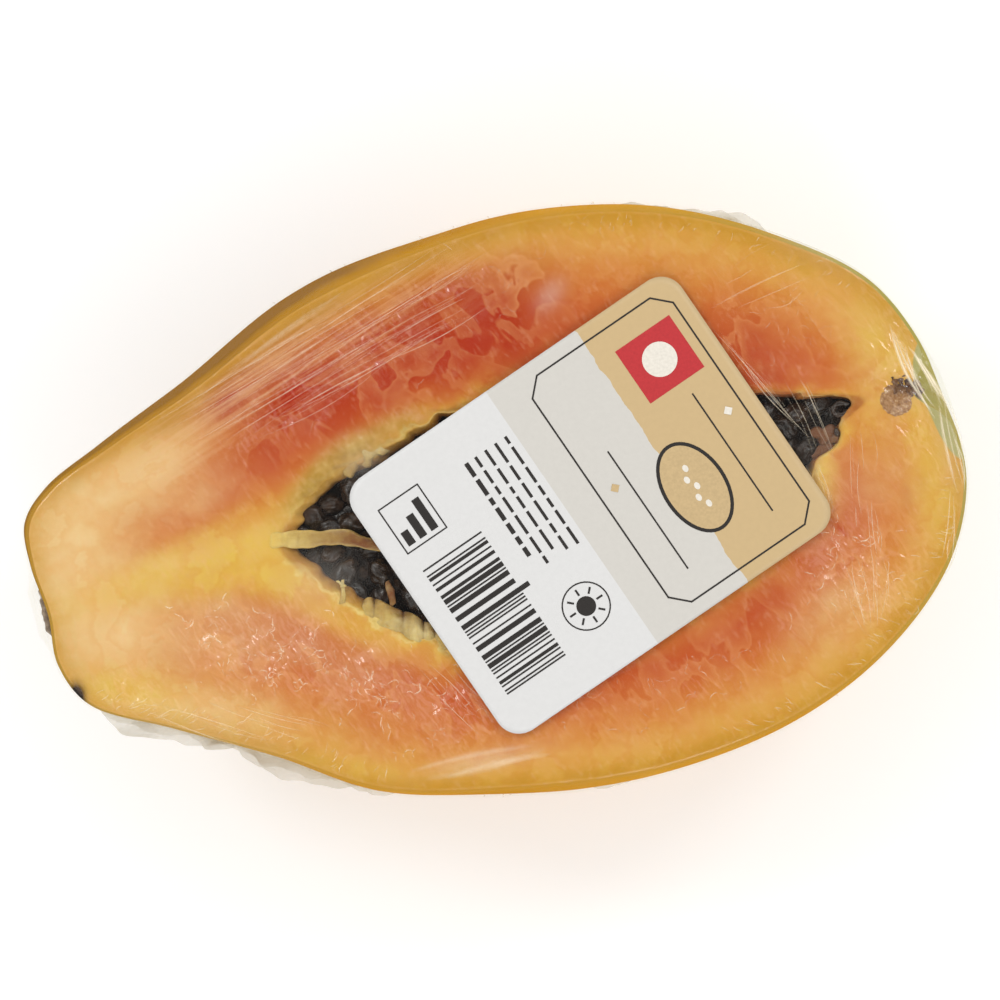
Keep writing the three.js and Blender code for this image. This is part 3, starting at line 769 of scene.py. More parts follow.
placenta = {
    "stalk": [(-46.5, 2.3), (-42.7, 1.7), (-37, 0.5), (-31, -0.3), (-26, -3.0), (-20, -5.4)],
    "half": 1.7, "deep": 14, "rootDip": 1.2,
    # the lobes: a band along the lower edge, cut into blunt teeth
    "band": {"from": (-30.2, -13.9), "to": (-13.2, -26.5), "wide": 5.0, "teeth": 5.4, "low": -3.2},
    "lean": (0.216, 0.976),
    # a brown tag above the lobes, white tissue at the upper edge, pulp at the far end:
    # middle, length, width, turn, redness, top
    "lumps": [
        (-24.4, -13.0, 5.2, 1.3, 84, 0.9, -1.4), (-21.6, 14.2, 7.0, 3.4, 24, 0.3, -0.15),
        (-26.2, 12.6, 5.0, 2.6, 36, 0.35, -0.4), (63.8, -1.4, 5.6, 3.2, -10, 1.2, -1.1),
        (65.6, -2.4, 3.2, 2.6, 40, 1.0, -0.9), (62.6, -4.2, 5.0, 1.9, 24, 1.4, -1.1)],
    "lumpFlat": 0.4, "knotty": 0.14,
    # threads that still tie a seed to the wall
    "threads": [((-33.9, -12.8), (-32.6, -8.4)), ((-32.9, -9.8), (-33.7, -8.3))],
}


def softPlacenta():
    # Soft stringy tissue left in the cavity: cream to olive, brown towards its loose end, damp.
    made, tree = newMaterial("softPlacenta")
    colour = node(tree, "ValToRGB", {"stops": [(0.3, "#c8a654"), (0.5, "#d9bd6e"), (0.7, "#e8d494")]},
                  Fac=grain(tree, 4, 4, 0.6, (2, 1, 1)))
    fibres = node(tree, "ValToRGB", {"stops": [(0.4, 0.0), (0.62, 0.22)]},
                  Fac=grain(tree, 0.8, 3, 0.6, (1, 4, 1), -12))
    colour = node(tree, "MixRGB", Fac=fibres, Color1=colour, Color2="#94683a")
    colour = stain(tree, colour, "#80502a", "blush", grain(tree, 1.6, 4), 0.45)
    # where blush is below 0 it is as yellow as the flesh
    rooted = node(tree, "Math", {"operation": "MULTIPLY", "use_clamp": True}, i1=-1.0,
                  i0=node(tree, "Attribute", {"attribute_name": "blush"}))
    colour = node(tree, "MixRGB", Fac=rooted, Color1=colour, Color2="#eac565")
    # painted shade in the notches, down the flanks and underneath, with the pulp lumps' own darker brown
    groove = node(tree, "Attribute", {"attribute_name": "groove"})
    colour = node(tree, "MixRGB", Fac=groove, Color1=colour, Color2="#5a3418")
    relief = node(tree, "Bump", Height=grain(tree, 0.7, 3, 0.5, (4, 1, 1)), Distance=0.3 * mm, Strength=0.7)
    node(tree, "OutputMaterial", Surface=node(
        tree, "BsdfPrincipled", Base_Color=colour, Roughness=0.35, IOR=1.37, Normal=relief,
        Subsurface_Weight=0.3, Subsurface_Radius=(1.0, 0.7, 0.35), Subsurface_Scale=1.5 * mm))
    return made


def stalkRings():  # an upright strip with a rounded, wavy top that dips under the flesh at its root
    corners = np.array(placenta["stalk"], float)
    along = np.linspace(0, 1, 80)
    knots = np.linspace(0, 1, len(corners))
    centre = np.stack([np.interp(along, knots, corners[:, i]) for i in (0, 1)], 1)
    for _ in range(5):
        centre[1:-1] = (centre[:-2] + 2 * centre[1:-1] + centre[2:]) / 4
    heading = np.gradient(centre, axis=0)
    heading /= np.linalg.norm(heading, axis=1)[:, None]
    section = np.linspace(0, math.tau, 28, endpoint=False)
    high, flank = np.sin(section), np.abs(np.cos(section))
    rings, reds, darks = [], [], []
    for k, share in enumerate(along):
        wavy = 1 + 0.10 * math.sin(share * 23) + 0.05 * math.sin(share * 51)
        half = placenta["half"] * math.sqrt(max(0.02, 1 - share ** 2.6)) * wavy
        across = np.sign(np.cos(section)) * flank ** 0.75 * half
        upper = -0.1 - 0.9 * (1 - np.abs(high) ** 0.5)
        z = np.where(high > 0, upper, -1.0 + placenta["deep"] * high * (1 - 0.5 * share))
        z = z - 0.2 * math.sin(share * 13) * (high > 0) * share - 0.5 * share ** 3
        z = z - placenta["rootDip"] * (1 - smoothStep(share / 0.12))
        side = np.array([-heading[k][1], heading[k][0]])
        rings.append(np.stack([centre[k][0] + side[0] * across, centre[k][1] + side[1] * across, z], 1))
        red = 0.95 * smoothStep((share - 0.15) / 0.6) - 1 + smoothStep(share / 0.3)
        reds += list(red * np.clip(1.15 - flank ** 3, 0.15, 1))
        # painted shade down the strip's lower flanks into the cavity
        darks += list(np.clip(0.35 - high, 0, 1) * 0.7)
    return rings, reds, darks


def lobeRings(knotty):
    band, lean = placenta["band"], placenta["lean"]
    around = np.linspace(0, math.tau, 36, endpoint=False)
    flat = np.sign(np.cos(around)) * np.abs(np.cos(around)) ** 0.7
    inwards = np.clip(flat, 0, 1)
    rings, reds, darks = [], [], []
    for share in np.linspace(0, 1, 150):
        tooth = abs(math.sin(math.pi * (share * band["teeth"] + 0.4 * math.sin(9 * share)))) ** 0.35
        ends = math.sqrt(max(0.02, 1 - (2 * share - 1) ** 6))
        reach = band["wide"] / 2 * ends * (0.72 + 0.28 * tooth + 0.08 * math.sin(17 * share))
        at = np.array(band["from"]) * (1 - share) + np.array(band["to"]) * share
        p = np.stack([at[0] + lean[0] * flat * reach, at[1] + lean[1] * flat * reach, np.zeros_like(flat)], 1)
        notch = (1 - tooth) * (0.3 + 0.7 * inwards)
        top = -0.35 - 1.1 * notch - 0.7 * inwards ** 2 + 0.26 * knotty(p * 1.4)
        p[:, 2] = np.where(np.sin(around) > 0, top, band["low"])
        rings.append(p)
        reds += list(0.15 + 0.35 * inwards)
        # painted shade in the notches between the teeth and underneath
        darks += list(np.clip(1.5 * notch + 0.8 * (np.sin(around) < 0.02), 0, 1))
    return rings, reds, darks


def lumpRings(knotty, x, y, long, wide, turn, redness, top):  # a blunt lump of tissue
    way = np.array(unit(turn))
    side = np.array([-way[1], way[0]])
    around = np.linspace(0, math.tau, 20, endpoint=False)
    flat = placenta["lumpFlat"]
    rings, darks = [], []
    for step in np.linspace(-1, 1, 19):
        swell = math.sqrt(max(0.0, 1 - step ** 4)) * wide / 2
        swell = max(swell * (1 + 0.1 * math.sin(step * 4 + x)), 0.06)
        at = np.array([x, y]) + way * step * long / 2 + side * 0.25 * math.sin(step * 3 + y)
        p = np.stack([at[0] + side[0] * np.cos(around) * swell, at[1] + side[1] * np.cos(around) * swell,
                      top - wide / 2 * flat + np.sin(around) * swell * flat - 0.5 * max(0, step) ** 2], 1)
        knots = np.stack([knotty(p), knotty(p + 9), knotty(p + 17)], 1)
        p += placenta["knotty"] * wide * knots * (abs(step) < 1)
        p[:, 2] = np.minimum(p[:, 2], 0.12 + 0.06 * np.sin(3 * p[:, 0] + 2 * p[:, 1]))
        rings.append(p)
        # painted shade on the flanks; the pulp lumps, redness over 0.95, are browner in their own colour
        darks += list(1.1 * np.clip(np.abs(np.cos(around)) - 0.6, 0, 1) + 0.4 * (redness > 0.95))
    return rings, [redness] * len(darks), darks


def threadRings(start, end):
    turn = np.linspace(0, math.tau, 10, endpoint=False)
    rings = []
    for share in np.linspace(0, 1, 14):
        wide = 0.3 + 0.4 * (1 - share) ** 2
        x = start[0] + (end[0] - start[0]) * share + 0.15 * math.sin(share * 5)
        y = start[1] + (end[1] - start[1]) * share
        rings.append(np.stack([
            x + np.cos(turn) * wide, np.full_like(turn, y), -0.5 + np.sin(turn) * wide * 0.6], 1))
    light = [0.1] * (len(rings) * len(turn))
    return rings, light, light


def makePlacenta():
    knotty = waves(51, 2.2)
    pieces = [stalkRings(), lobeRings(knotty)]
    pieces += [lumpRings(knotty, *lump) for lump in placenta["lumps"]]
    pieces += [threadRings(*ends) for ends in placenta["threads"]]
    parts, blush, groove = [], [], []
    for rings, reds, darks in pieces:
        p, f = lathe(rings, closeStart=True, closeEnd=True)
        corners = p[[face[:3] for face in f]] - p.mean(0)
        outwards = np.sum(corners[:, 0] * np.cross(corners[:, 1], corners[:, 2])) > 0
        parts.append((p, f if outwards else [face[::-1] for face in f]))
        blush += reds + [reds[0], reds[-1]]
        groove += darks + [darks[0], darks[-1]]
    makePiece("placenta", *joined(parts), [softPlacenta()], "papaya_flesh",
              {"blush": blush, "groove": groove})


makePlacenta()

# scars: where the flower and the stalk were

scars = {
    # dry remnants of the flower, dark flakes round the dimple's outer side
    "flakes": {"count": 64, "at": (78.6, 2.8), "from": -0.2, "to": 1.7, "reach": (2.2, 4.9),
               "high": (-1.3, 0.05)},
    "char": {"at": (1.6, 2.8), "half": 1.3, "dark": 0.9},
    # the stalk's end from its root to its middle: share of its radius, and height under its top
    "stalkProfile": [
        (0.6, 6), (0.9, 4.5), (1.0, 2.2), (1.0, 1.2), (0.97, 0.5), (0.9, 0.1),
        (0.8, 0), (0.68, 0.1), (0.55, 0.25), (0.4, 0.2), (0.25, 0), (0.1, -0.1)],
}


def granularCork():
    # Corky tissue, torn by the knife: dry, granular, tan with light specks.
    made, tree = newMaterial("granularCork")
    colour = node(tree, "ValToRGB", {"stops": [
        (0.3, "#7e5434"), (0.44, "#a6784a"), (0.56, "#ba8c5e"), (0.68, "#e6caa0")]},
        Fac=grain(tree, 0.7, 4, 0.75))
    char = node(tree, "Attribute", {"attribute_name": "char"})
    colour = node(tree, "MixRGB", Fac=char, Color1=colour, Color2="#3c1c12")
    relief = node(tree, "Bump", Height=grain(tree, 0.5, 4, 0.7), Distance=0.35 * mm, Strength=0.9)
    node(tree, "OutputMaterial", Surface=node(
        tree, "BsdfPrincipled", Base_Color=colour, Roughness=0.85, Normal=relief))
    return made


def driedStalkWood():
    # The snapped stalk, dried to grey-brown wood with rings.
    made, tree = newMaterial("driedStalkWood")
    colour = node(tree, "ValToRGB", {"stops": [(0.3, "#6a5a4a"), (0.5, "#8f7c68"), (0.72, "#b0a08c")]},
                  Fac=grain(tree, 1.4, 4, 0.6, (1, 1, 3)))
    char = node(tree, "Attribute", {"attribute_name": "char"})
    colour = node(tree, "MixRGB", Fac=char, Color1=colour, Color2="#4a3828")
    relief = node(tree, "Bump", Height=grain(tree, 0.8, 4, 0.7), Distance=0.4 * mm, Strength=0.9)
    node(tree, "OutputMaterial", Surface=node(
        tree, "BsdfPrincipled", Base_Color=colour, Roughness=0.8, Normal=relief))
    return made


def makeBlossomScar():
    scar, flakes, burnt = fruit["blossomScar"], scars["flakes"], scars["char"]
    ball, ballFaces = ballPoints(5)
    lumps, grains = waves(21, 3.2), waves(22, 0.9, 14)
    p = ball * scar["radius"]
    p = p * (1 + 0.03 * lumps(p) + 0.04 * grains(p))[:, None]
    p[:, 2] = np.minimum(p[:, 2], scar["proud"] - scar["at"][2] + 0.16 * grains(p * 1.3))
    fromChar = np.hypot(p[:, 0] - burnt["at"][0], p[:, 1] - burnt["at"][1])
    chars = [np.clip(burnt["dark"] * bell(fromChar, burnt["half"]), 0, 1)]
    parts = [(p + np.array(scar["at"]), ballFaces)]
    dice = random.Random(31)
    small, smallFaces = ballPoints(2)
    for _ in range(flakes["count"]):
        turn = dice.uniform(flakes["from"], flakes["to"])
        reach = dice.uniform(*flakes["reach"])
        at = np.array([
            flakes["at"][0] + reach * math.cos(turn), flakes["at"][1] + reach * math.sin(turn) * 0.75,
            dice.uniform(*flakes["high"])])
        size = np.array([dice.uniform(0.6, 1.4), dice.uniform(0.5, 0.9), dice.uniform(0.25, 0.5)])
        flake = small * (1 + 0.25 * np.sin(small[:, :1] * 5 + dice.uniform(0, 6))) * size
        parts.append((flake @ turnedBy(dice, 0.8).T + at, smallFaces))
        chars.append(np.full(len(small), dice.uniform(0.6, 1)))
    made = makePiece("blossom_end_scar", *joined(parts), [granularCork()], "cork",
                     {"char": np.concatenate(chars)})
    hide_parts("blossom_scar")


def makeStemScar():
    scar = fruit["stemScar"]
    around = np.arange(72) * math.tau / 72
    lumps, grains = waves(25, 3), waves(26, 1.1)
    rings, chars = [], []
    for share, under in scars["stalkProfile"]:
        y, z = scar["radius"] * share * np.cos(around), scar["radius"] * share * np.sin(around)
        p = np.stack([np.full_like(y, under - scar["proud"]), y, z], 1)
        p[:, 0] -= 0.3 * lumps(p) + 0.12 * grains(p)
        p[:, 1:] *= (1 + 0.03 * lumps(p))[:, None]
        rings.append(p + np.array(scar["at"]))
        char = np.clip(0.8 * bell(share - 0.5, 0.12) + 0.5 * (share > 0.98), 0, 1)
        chars += [char] * len(around)
    points, faces = lathe(rings, closeStart=True, closeEnd=True)
    made = makePiece("stem_end_scar", points, faces, [driedStalkWood()], "dry_wood",
                     {"char": chars + [0.5, 0.3]})
    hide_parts("stem_scar")


makeBlossomScar()
makeStemScar()

# cling film: the stretched sheet, its creases with painted highlights, and its loose flaps

film = {
    "segments": 600, "faceRings": 64, "backRings": 44, "out": 0.5, "underOut": 0.15, "end": 0.965,
    "slack": 0.09, "ripple": 0.03, "gloss": 0.04, "fogDepth": 0.4,
    # where it is crumpled, and where it is milky, with one painted sheen among the fog spots: see softSpots
    "crumple": [
        (-50, -18, 20, 10, -12, 0.9), (-30, -30, 22, 9, -30, 0.8), (-78, -22, 9, 5, -30, 0.8),
        (-8, 38, 26, 8, 20, 0.6), (62, -26, 16, 12, -30, 0.8), (60, 12, 9, 9, 0, 0.5), (80, 4, 6, 18, 0, 0.9),
        (40, -40, 22, 6, 22, 0.5), (-4, -40, 26, 7, 0, 0.6), (-40, 24, 24, 8, 26, 0.6)],
    # the last fog spot, at (17.9, 36.3), is a painted sheen: a pale patch where the film would catch the
    # light
    "fog": [
        (-38, -8, 6, 5, 0, 0.25), (86.5, -6, 2.6, 14, 0, 0.2), (-46, 31, 18, 4, 24, 0.1),
        (-24, 13, 4, 3, 0, 0.25), (70, 36, 10, 4, -40, 0.3), (-14, -48, 9, 1.6, 0, 0.4),
        (60, -12, 4, 9, -20, 0.2), (-66, -30, 16, 3, -28, 0.15), (17.9, 36.3, 3.4, 2.0, 40, 0.45)],
}


def stretchedClingFilm(name, haze, crinkle, through, tint):
    # Cling film pulled tight: nearly clear, mirror-like on its ridges, milky where it is creased.
    made, tree = newMaterial(name)
    crumple = node(tree, "Attribute", {"attribute_name": "crumple"})
    folds = 0.0  # sharp-crested, 8 mm apart with 3 mm ones between them
    for pattern, high in ((grain(tree, 8, 0, 0.5, (2.5, 1, 1), 30), 3.5),
                          (grain(tree, 3.2, 2, 0.6, (1, 2, 1), 25), 1.6)):
        crest = node(tree, "Math", {"operation": "SUBTRACT"}, i0=pattern, i1=0.5)
        crest = node(tree, "Math", {"operation": "ABSOLUTE"}, i0=crest)
        folds = node(tree, "Math", {"operation": "MULTIPLY_ADD"}, i0=crest, i1=high, i2=folds)
    depth = node(tree, "Math", {"operation": "MULTIPLY_ADD"}, i0=crumple, i1=crinkle, i2=0.06)
    relief = node(tree, "Bump", Height=folds, Distance=1.2 * mm, Strength=depth)
    clear = node(tree, "BsdfTransparent", Color="#fdfdfb")
    shine = node(tree, "BsdfGlossy", Color="#ffffff", Roughness=0.12, Normal=relief)
    facing = node(tree, "LayerWeight", Normal=relief).outputs["Facing"]
    glancing = node(tree, "Math", {"operation": "SUBTRACT"}, i0=1.2, i1=facing)
    gloss = node(tree, "Math", {"operation": "MULTIPLY"}, i0=glancing,
                 i1=node(tree, "Attribute", {"attribute_name": "gloss"}))
    glossy = node(tree, "MixShader", Fac=gloss, i1=clear, i2=shine)
    creased = node(tree, "Math", {"operation": "ADD"}, i0=crumple, i1=0.2)
    creased = node(tree, "Math", {"operation": "MULTIPLY"}, i0=creased,
                   i1=node(tree, "Attribute", {"attribute_name": "milky"}))
    # the fog field: milky haze, and on the stretched sheet one painted sheen
    whiteness = node(tree, "Math", {"operation": "MULTIPLY_ADD"}, i0=creased, i1=haze,
                i2=node(tree, "Attribute", {"attribute_name": "fog"}))
    veil = node(tree, "BsdfDiffuse", Color=tint, Roughness=0.3)
    if through:  # loose film is lit from behind too
        behind = node(tree, "BsdfTranslucent", Color=tint)
        veil = node(tree, "MixShader", Fac=through, i1=veil, i2=behind)
    node(tree, "OutputMaterial", Surface=node(tree, "MixShader", Fac=whiteness, i1=glossy, i2=veil))
    return made


def letLightThrough(piece):  # film is clear enough to cast no shadow of its own
    piece.visible_shadow = False
    piece.visible_diffuse = False


def milkiness(points, seed):
    return np.clip(0.5 + 0.8 * waves(seed, 9)(points), 0.15, 1)


def filmShape(angle, share):  # the sheet over the back, from the cut edge down
    taper = smoothStep((share - 0.7) / 0.25)
    out = film["out"] * (1 - taper) + film["underOut"] * taper
    p = overScar(backPoint(angle, share, out))
    p[:, 2] = np.maximum(p[:, 2], 0.12 - fruit["depth"] + fruit["restFlat"])
    return p


def makeFilm():
    angle = turns(film["segments"])
    sag, ripple = waves(41, 16), waves(42, 5)
    rings = []
    for k in range(1, film["faceRings"] + 1):
        radius = (cutRadius(angle) - fruit["edgeRound"]) * k / film["faceRings"]
        p = facePoint(angle, radius, film["out"])
        loose = softSpots(p, film["crumple"])
        p[:, 2] += film["slack"] * sag(p) + (film["ripple"] + 0.1 * loose) * ripple(p)
        rings.append(p)
    for share in (0.3, 0.6, 1.0):
        p = edgePoint(angle, share, film["out"])
        p[:, 2] += (film["ripple"] + 0.06 * softSpots(p, film["crumple"])) * ripple(p)
        rings.append(p)
    for k in range(1, film["backRings"] + 1):
        rings.append(filmShape(angle, film["end"] * k / film["backRings"]))
    points, faces = lathe(rings, closeStart=True)
    z = points[:, 2]
    around, reach = polar(points, fruit["centre"])
    rim = bell(reach - cutRadius(around) + 0.2, 0.8) * (z > -4)
    fields = {
        "crumple": np.maximum(softSpots(points, film["crumple"]), 0.75 * smoothStep((-z - 2) / 14)),
        "gloss": film["gloss"] * (1 - 0.8 * rim + 3 * smoothStep((-z - 4) / 26)),
        "milky": milkiness(points, 43),
        "fog": film["fogDepth"] * softSpots(points, film["fog"]) * (z > -12),
    }
    pulledTight = stretchedClingFilm("stretchedClingFilm", 0.025, 0.9, 0, "#eee9e0")
    made = makePiece("film_wrap", points, faces, [pulledTight], "cling_film", fields)
    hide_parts("film")
    letLightThrough(made)
    return made


wrap = makeFilm()

creasesAndGlints = {
    # each fan: start line, end line, how many, half width (mm), how white, share of its length that shows
    "fans": [
        (((-64, 29), (-50, 19)), ((8, 54), (10, 38)), 44, 0.08, 0.50, (0.2, 0.7)),
        (((-60, 30), (-40, 27)), ((-20, 46), (-8, 38)), 9, 0.40, 0.16, (0.4, 0.8)),
        (((45, 31), (48, 22)), ((66, 38), (70, 27)), 6, 0.08, 0.40, (0.3, 0.9)),
        (((45, 26), (48, 23)), ((60, -1), (62, -4)), 7, 0.08, 0.55, (0.5, 1.0)),
        (((56, 12), (62, 11)), ((60, -5), (66, -8)), 8, 0.08, 0.45, (0.4, 0.9)),
        (((68, 0), (73, -2)), ((60, -44), (68, -40)), 13, 0.09, 0.55, (0.1, 0.35)),
        (((59, -22), (73, -25)), ((63, -41), (65, -41)), 12, 0.08, 0.60, (0.4, 0.95)),
        (((-25, -26), (-14, -28)), ((-14, -44), (-5, -44)), 9, 0.08, 0.50, (0.3, 0.9)),
        (((80, 17), (84, 10)), ((85, -4), (88, -2)), 10, 0.30, 0.75, (0.6, 0.95)),
        (((85.5, 2), (88, 1)), ((85, -20), (88.5, -18)), 7, 0.22, 0.6, (0.5, 0.9)),
        (((84, -16), (86, -16)), ((78, -34), (81, -33)), 5, 0.14, 0.50, (0.3, 0.8)),
        (((-80, -22), (-60, -26)), ((-52, -40), (-36, -38)), 11, 0.085, 0.50, (0.3, 0.8)),
        # two broad soft strips along the bottom: painted highlights rather than creases
        (((-29, -47), (-24, -50)), ((-4, -47), (1, -50)), 3, 0.75, 0.34, (0.8, 1.0)),
        (((58, -4), (61, -6)), ((59, -18), (62, -17)), 5, 0.10, 0.60, (0.5, 0.9)),
    ],
    # crumples: middle, half length, half width, turn, how many, stroke length, half width, how white
    "crumples": [
        (-52, -19, 15, 9, -12, 60, 2.0, 0.17, 0.55), (-32, -29, 17, 9, -30, 56, 2.0, 0.17, 0.5),
        (-10, -40, 24, 6, 0, 30, 2.0, 0.11, 0.45), (34, -42, 24, 6, 20, 26, 2.0, 0.11, 0.45),
        (62, -27, 12, 10, -40, 36, 2.2, 0.12, 0.6), (-10, 32, 24, 8, 20, 24, 2.4, 0.08, 0.3),
        (62, 20, 14, 10, -30, 16, 2.4, 0.08, 0.3), (8, 44, 26, 5, 4, 14, 2.4, 0.08, 0.3),
    ],
    # short pleats square to the rim: from and to direction, how many, how far in, length
    "rims": [
        (190, 205, 40, 6.0, 2.6), (205, 232, 34, 4.5, 2.0), (-38, -8, 40, 3.5, 2.2), (300, 322, 18, 3.5, 2.0),
        (20, 60, 24, 3.5, 1.8)],
    "rimHalf": 0.08, "rimWhiteness": 0.5,
    "sides": 130,
}


def whiteCreaseAndPaintedGlint():
    # A sharp crease in the film shows as a white line: partly the film's own whitening where it is creased,
    # partly a painted highlight where its wrinkles would mirror the light.
    made, tree = newMaterial("whiteCreaseAndPaintedGlint")
    fade = patchy(tree, "fade", grain(tree, 3, 2), 0.5)
    clear = node(tree, "BsdfTransparent", Color="#ffffff")
    white = node(tree, "BsdfPrincipled", Base_Color="#fff0d2", Roughness=0.35, IOR=1.5)
    node(tree, "OutputMaterial", Surface=node(tree, "MixShader", Fac=fade, i1=clear, i2=white))
    return made


def makeCreasesAndGlints():
    dice = random.Random(77)
    corners = [tuple(v.co) for v in wrap.data.vertices]
    surface = BVHTree.FromPolygons(corners, [tuple(p.vertices) for p in wrap.data.polygons])
    points, faces, fades = [], [], []

    def onFilm(x, y):  # point and normal of the film at a place on the cut face, None past its edge
        above = Vector(np.array([x, y, 20.0]) * mm + origin)
        hit, normal, _, _ = surface.ray_cast(above, Vector((0, 0, -1)))
        if hit is None:
            return None
        p = (np.array(hit) - origin) / mm
        return (p, np.array(normal)) if p[2] > -6 else None

    def ribbon(line, half, whiteness):  # line: [(point, normal)]; a low ridge that thins out at both ends
        if len(line) < 3:
            return
        start = len(points)
        for k, (p, normal) in enumerate(line):
            before, after = line[max(0, k - 1)][0], line[min(len(line) - 1, k + 1)][0]
            side = np.cross(normal, after - before)
            side /= max(np.linalg.norm(side), 1e-9)
            share = k / (len(line) - 1)
            thin = math.sin(math.pi * share) ** 0.5
            wide = half * (0.35 + 0.65 * thin)
            points.append(p - side * wide + normal * 0.03)
            points.append(p + normal * (0.05 + min(0.2, 0.8 * half) * thin))
            points.append(p + side * wide + normal * 0.03)
            fades.extend([0.0, whiteness * thin, 0.0])
        for k in range(len(line) - 1):
            a = start + 3 * k
            faces.append([a, a + 3, a + 4, a + 1])
            faces.append([a + 1, a + 4, a + 5, a + 2])

    def stroke(x0, y0, x1, y1, half, whiteness, bow=0.0, step=1.0):
        length = max(math.hypot(x1 - x0, y1 - y0), 1e-6)
        count = max(4, int(length / step))
        line = []
        for k in range(count + 1):
            t = k / count
            off = bow * math.sin(math.pi * t) / length
            found = onFilm(x0 + (x1 - x0) * t - (y1 - y0) * off, y0 + (y1 - y0) * t + (x1 - x0) * off)
            if found is None:
                break
            line.append(found)
        ribbon(line, half, whiteness)

    for ((a, b), (c, d)), ((e, f), (g, h)), count, half, whiteness, shown in creasesAndGlints["fans"]:
        for _ in range(count):
            t = dice.random()
            u = min(1, max(0, t + dice.gauss(0, 0.12)))
            x0, y0 = a + (c - a) * t, b + (d - b) * t
            x1, y1 = e + (g - e) * u, f + (h - f) * u
            part = dice.uniform(*shown)
            first = dice.uniform(0, 1 - part)
            last = first + part
            stroke(x0 + (x1 - x0) * first, y0 + (y1 - y0) * first,
                   x0 + (x1 - x0) * last, y0 + (y1 - y0) * last,
                   half * dice.uniform(0.7, 1.5), whiteness * dice.uniform(0.4, 1.1), dice.gauss(0, 0.6))
    for x, y, long, wide, turn, count, length, half, whiteness in creasesAndGlints["crumples"]:
        c, s = unit(turn)
        for _ in range(count):
            u, v = dice.gauss(0, 0.5) * long, dice.gauss(0, 0.5) * wide
            px, py = x + u * c - v * s, y + u * s + v * c
            way = math.radians(turn + dice.choice((0, 0, 60, 100, 130)) + dice.gauss(0, 20))
            for _ in range(dice.choice((1, 2, 2, 3))):  # a crumple is a few strokes end to end
                size = length * dice.uniform(0.3, 1.2)
                nextX, nextY = px + size * math.cos(way), py + size * math.sin(way)
                stroke(px, py, nextX, nextY, half * dice.uniform(0.7, 1.4), whiteness * dice.uniform(0.3, 1.1),
                       dice.gauss(0, 0.16) * size, 0.35)
                px, py, way = nextX, nextY, way + dice.choice((-1, 1)) * dice.uniform(0.5, 1.5)
    for first, last, count, inwards, length in creasesAndGlints["rims"]:
        for _ in range(count):
            at = math.radians(dice.uniform(first, last))
            reach = cutRadius(np.array([at]))[0] - dice.uniform(1.0, inwards)
            size = length * dice.uniform(0.5, 1.3)
            way = at + dice.gauss(0, 0.25)
            x, y = fruit["centre"][0] + reach * math.cos(at), fruit["centre"][1] + reach * math.sin(at)
            stroke(x, y, x - size * math.cos(way), y - size * math.sin(way),
                   creasesAndGlints["rimHalf"] * dice.uniform(0.8, 1.4), creasesAndGlints["rimWhiteness"] * dice.uniform(0.5, 1.2),
                   dice.gauss(0, 0.2), 0.4)
    # tension lines down the back, which lean a little
    for _ in range(creasesAndGlints["sides"]):
        at, lean = dice.uniform(0, math.tau), dice.gauss(0, 0.05)
        first, last = sorted((dice.uniform(0.02, 0.8), dice.uniform(0.1, 0.88)))
        half = dice.uniform(0.12, 0.4)
        line = []
        for share in np.linspace(first, last, 26):
            angle = np.array([at + lean * (share - first)])
            p, beside = filmShape(angle, share)[0], filmShape(angle + 0.01, share)[0]
            below = filmShape(angle, share + 0.01)[0]
            normal = np.cross(below - p, beside - p)
            line.append((p, normal / np.linalg.norm(normal)))
        ribbon(line, half, dice.uniform(0.1, 0.4))
    letLightThrough(makePiece("film_creases_and_painted_glints", points, faces, [whiteCreaseAndPaintedGlint()], "cling_film",
                              {"fade": fades}, smooth=False))


makeCreasesAndGlints()

flaps = {
    # direction and half width in degrees, stand-off (mm), how far down the film leaves the side, layers
    "list": [
        (214, 15, 6.8, 0.36, 2), (229, 9, 3.2, 0.3, 1), (199, 10, 8.4, 0.3, 2), (40, 12, 4.2, 0.32, 2),
        (54, 7, 2.4, 0.3, 1), (-12, 20, 4.0, 0.3, 2), (9, 8, 3.0, 0.3, 1), (-38, 10, 2.4, 0.3, 1),
        (-84, 8, 1.7, 0.3, 1)],
    "across": 120, "out": 18, "wave": 0.45, "whiteness": 0.48,
}


def flapRows(at, half, standOff, foot, layer, dice):
    # a loose edge of film from where it leaves the side out to its ragged hem
    phase = [dice.uniform(0, math.tau) for _ in range(6)]
    across = np.linspace(-1, 1, flaps["across"])
    angle = np.radians(at + half * (1 - 0.15 * layer) * across + dice.uniform(-2, 2) * layer)
    hump = np.clip(1 - across ** 2, 0, 1) ** 0.6
    ragged = 0.78 + 0.16 * np.sin(4 * across + phase[0]) + 0.1 * np.sin(9 * across + phase[1])
    ragged += 0.03 * np.sin(23 * across + phase[2])
    reach = (standOff * ragged - 0.9 * layer) * hump
    low = backPoint(angle, foot, film["out"] + 0.15)
    high = np.concatenate([backPoint(angle[i:i + 1], 0.2, max(far, 0.7)) for i, far in enumerate(reach)])
    pleats = np.abs(np.cos(6.5 * across + phase[5])) ** 6
    rows, fogs, crumples = [], [], []
    for v in np.arange(flaps["out"]) / (flaps["out"] - 1):
        p = low + (high - low) * v
        fold = np.sin(9 * across + phase[3] + 1.5 * v) + 0.5 * np.sin(21 * across + phase[4] - 2 * v)
        p[:, 2] += flaps["wave"] * fold * v * hump + 1.1 * layer * v - 2.4 * v * v * (1 - hump)
        rows.append(p)
        fogs += list(flaps["whiteness"] * smoothStep(v / 0.75 * np.clip(2.2 * hump, 0, 1)))
        crumples += list(np.clip(0.35 + 0.65 * pleats + 0.3 * (v > 0.94), 0, 1))
    return np.concatenate(rows), fogs, crumples


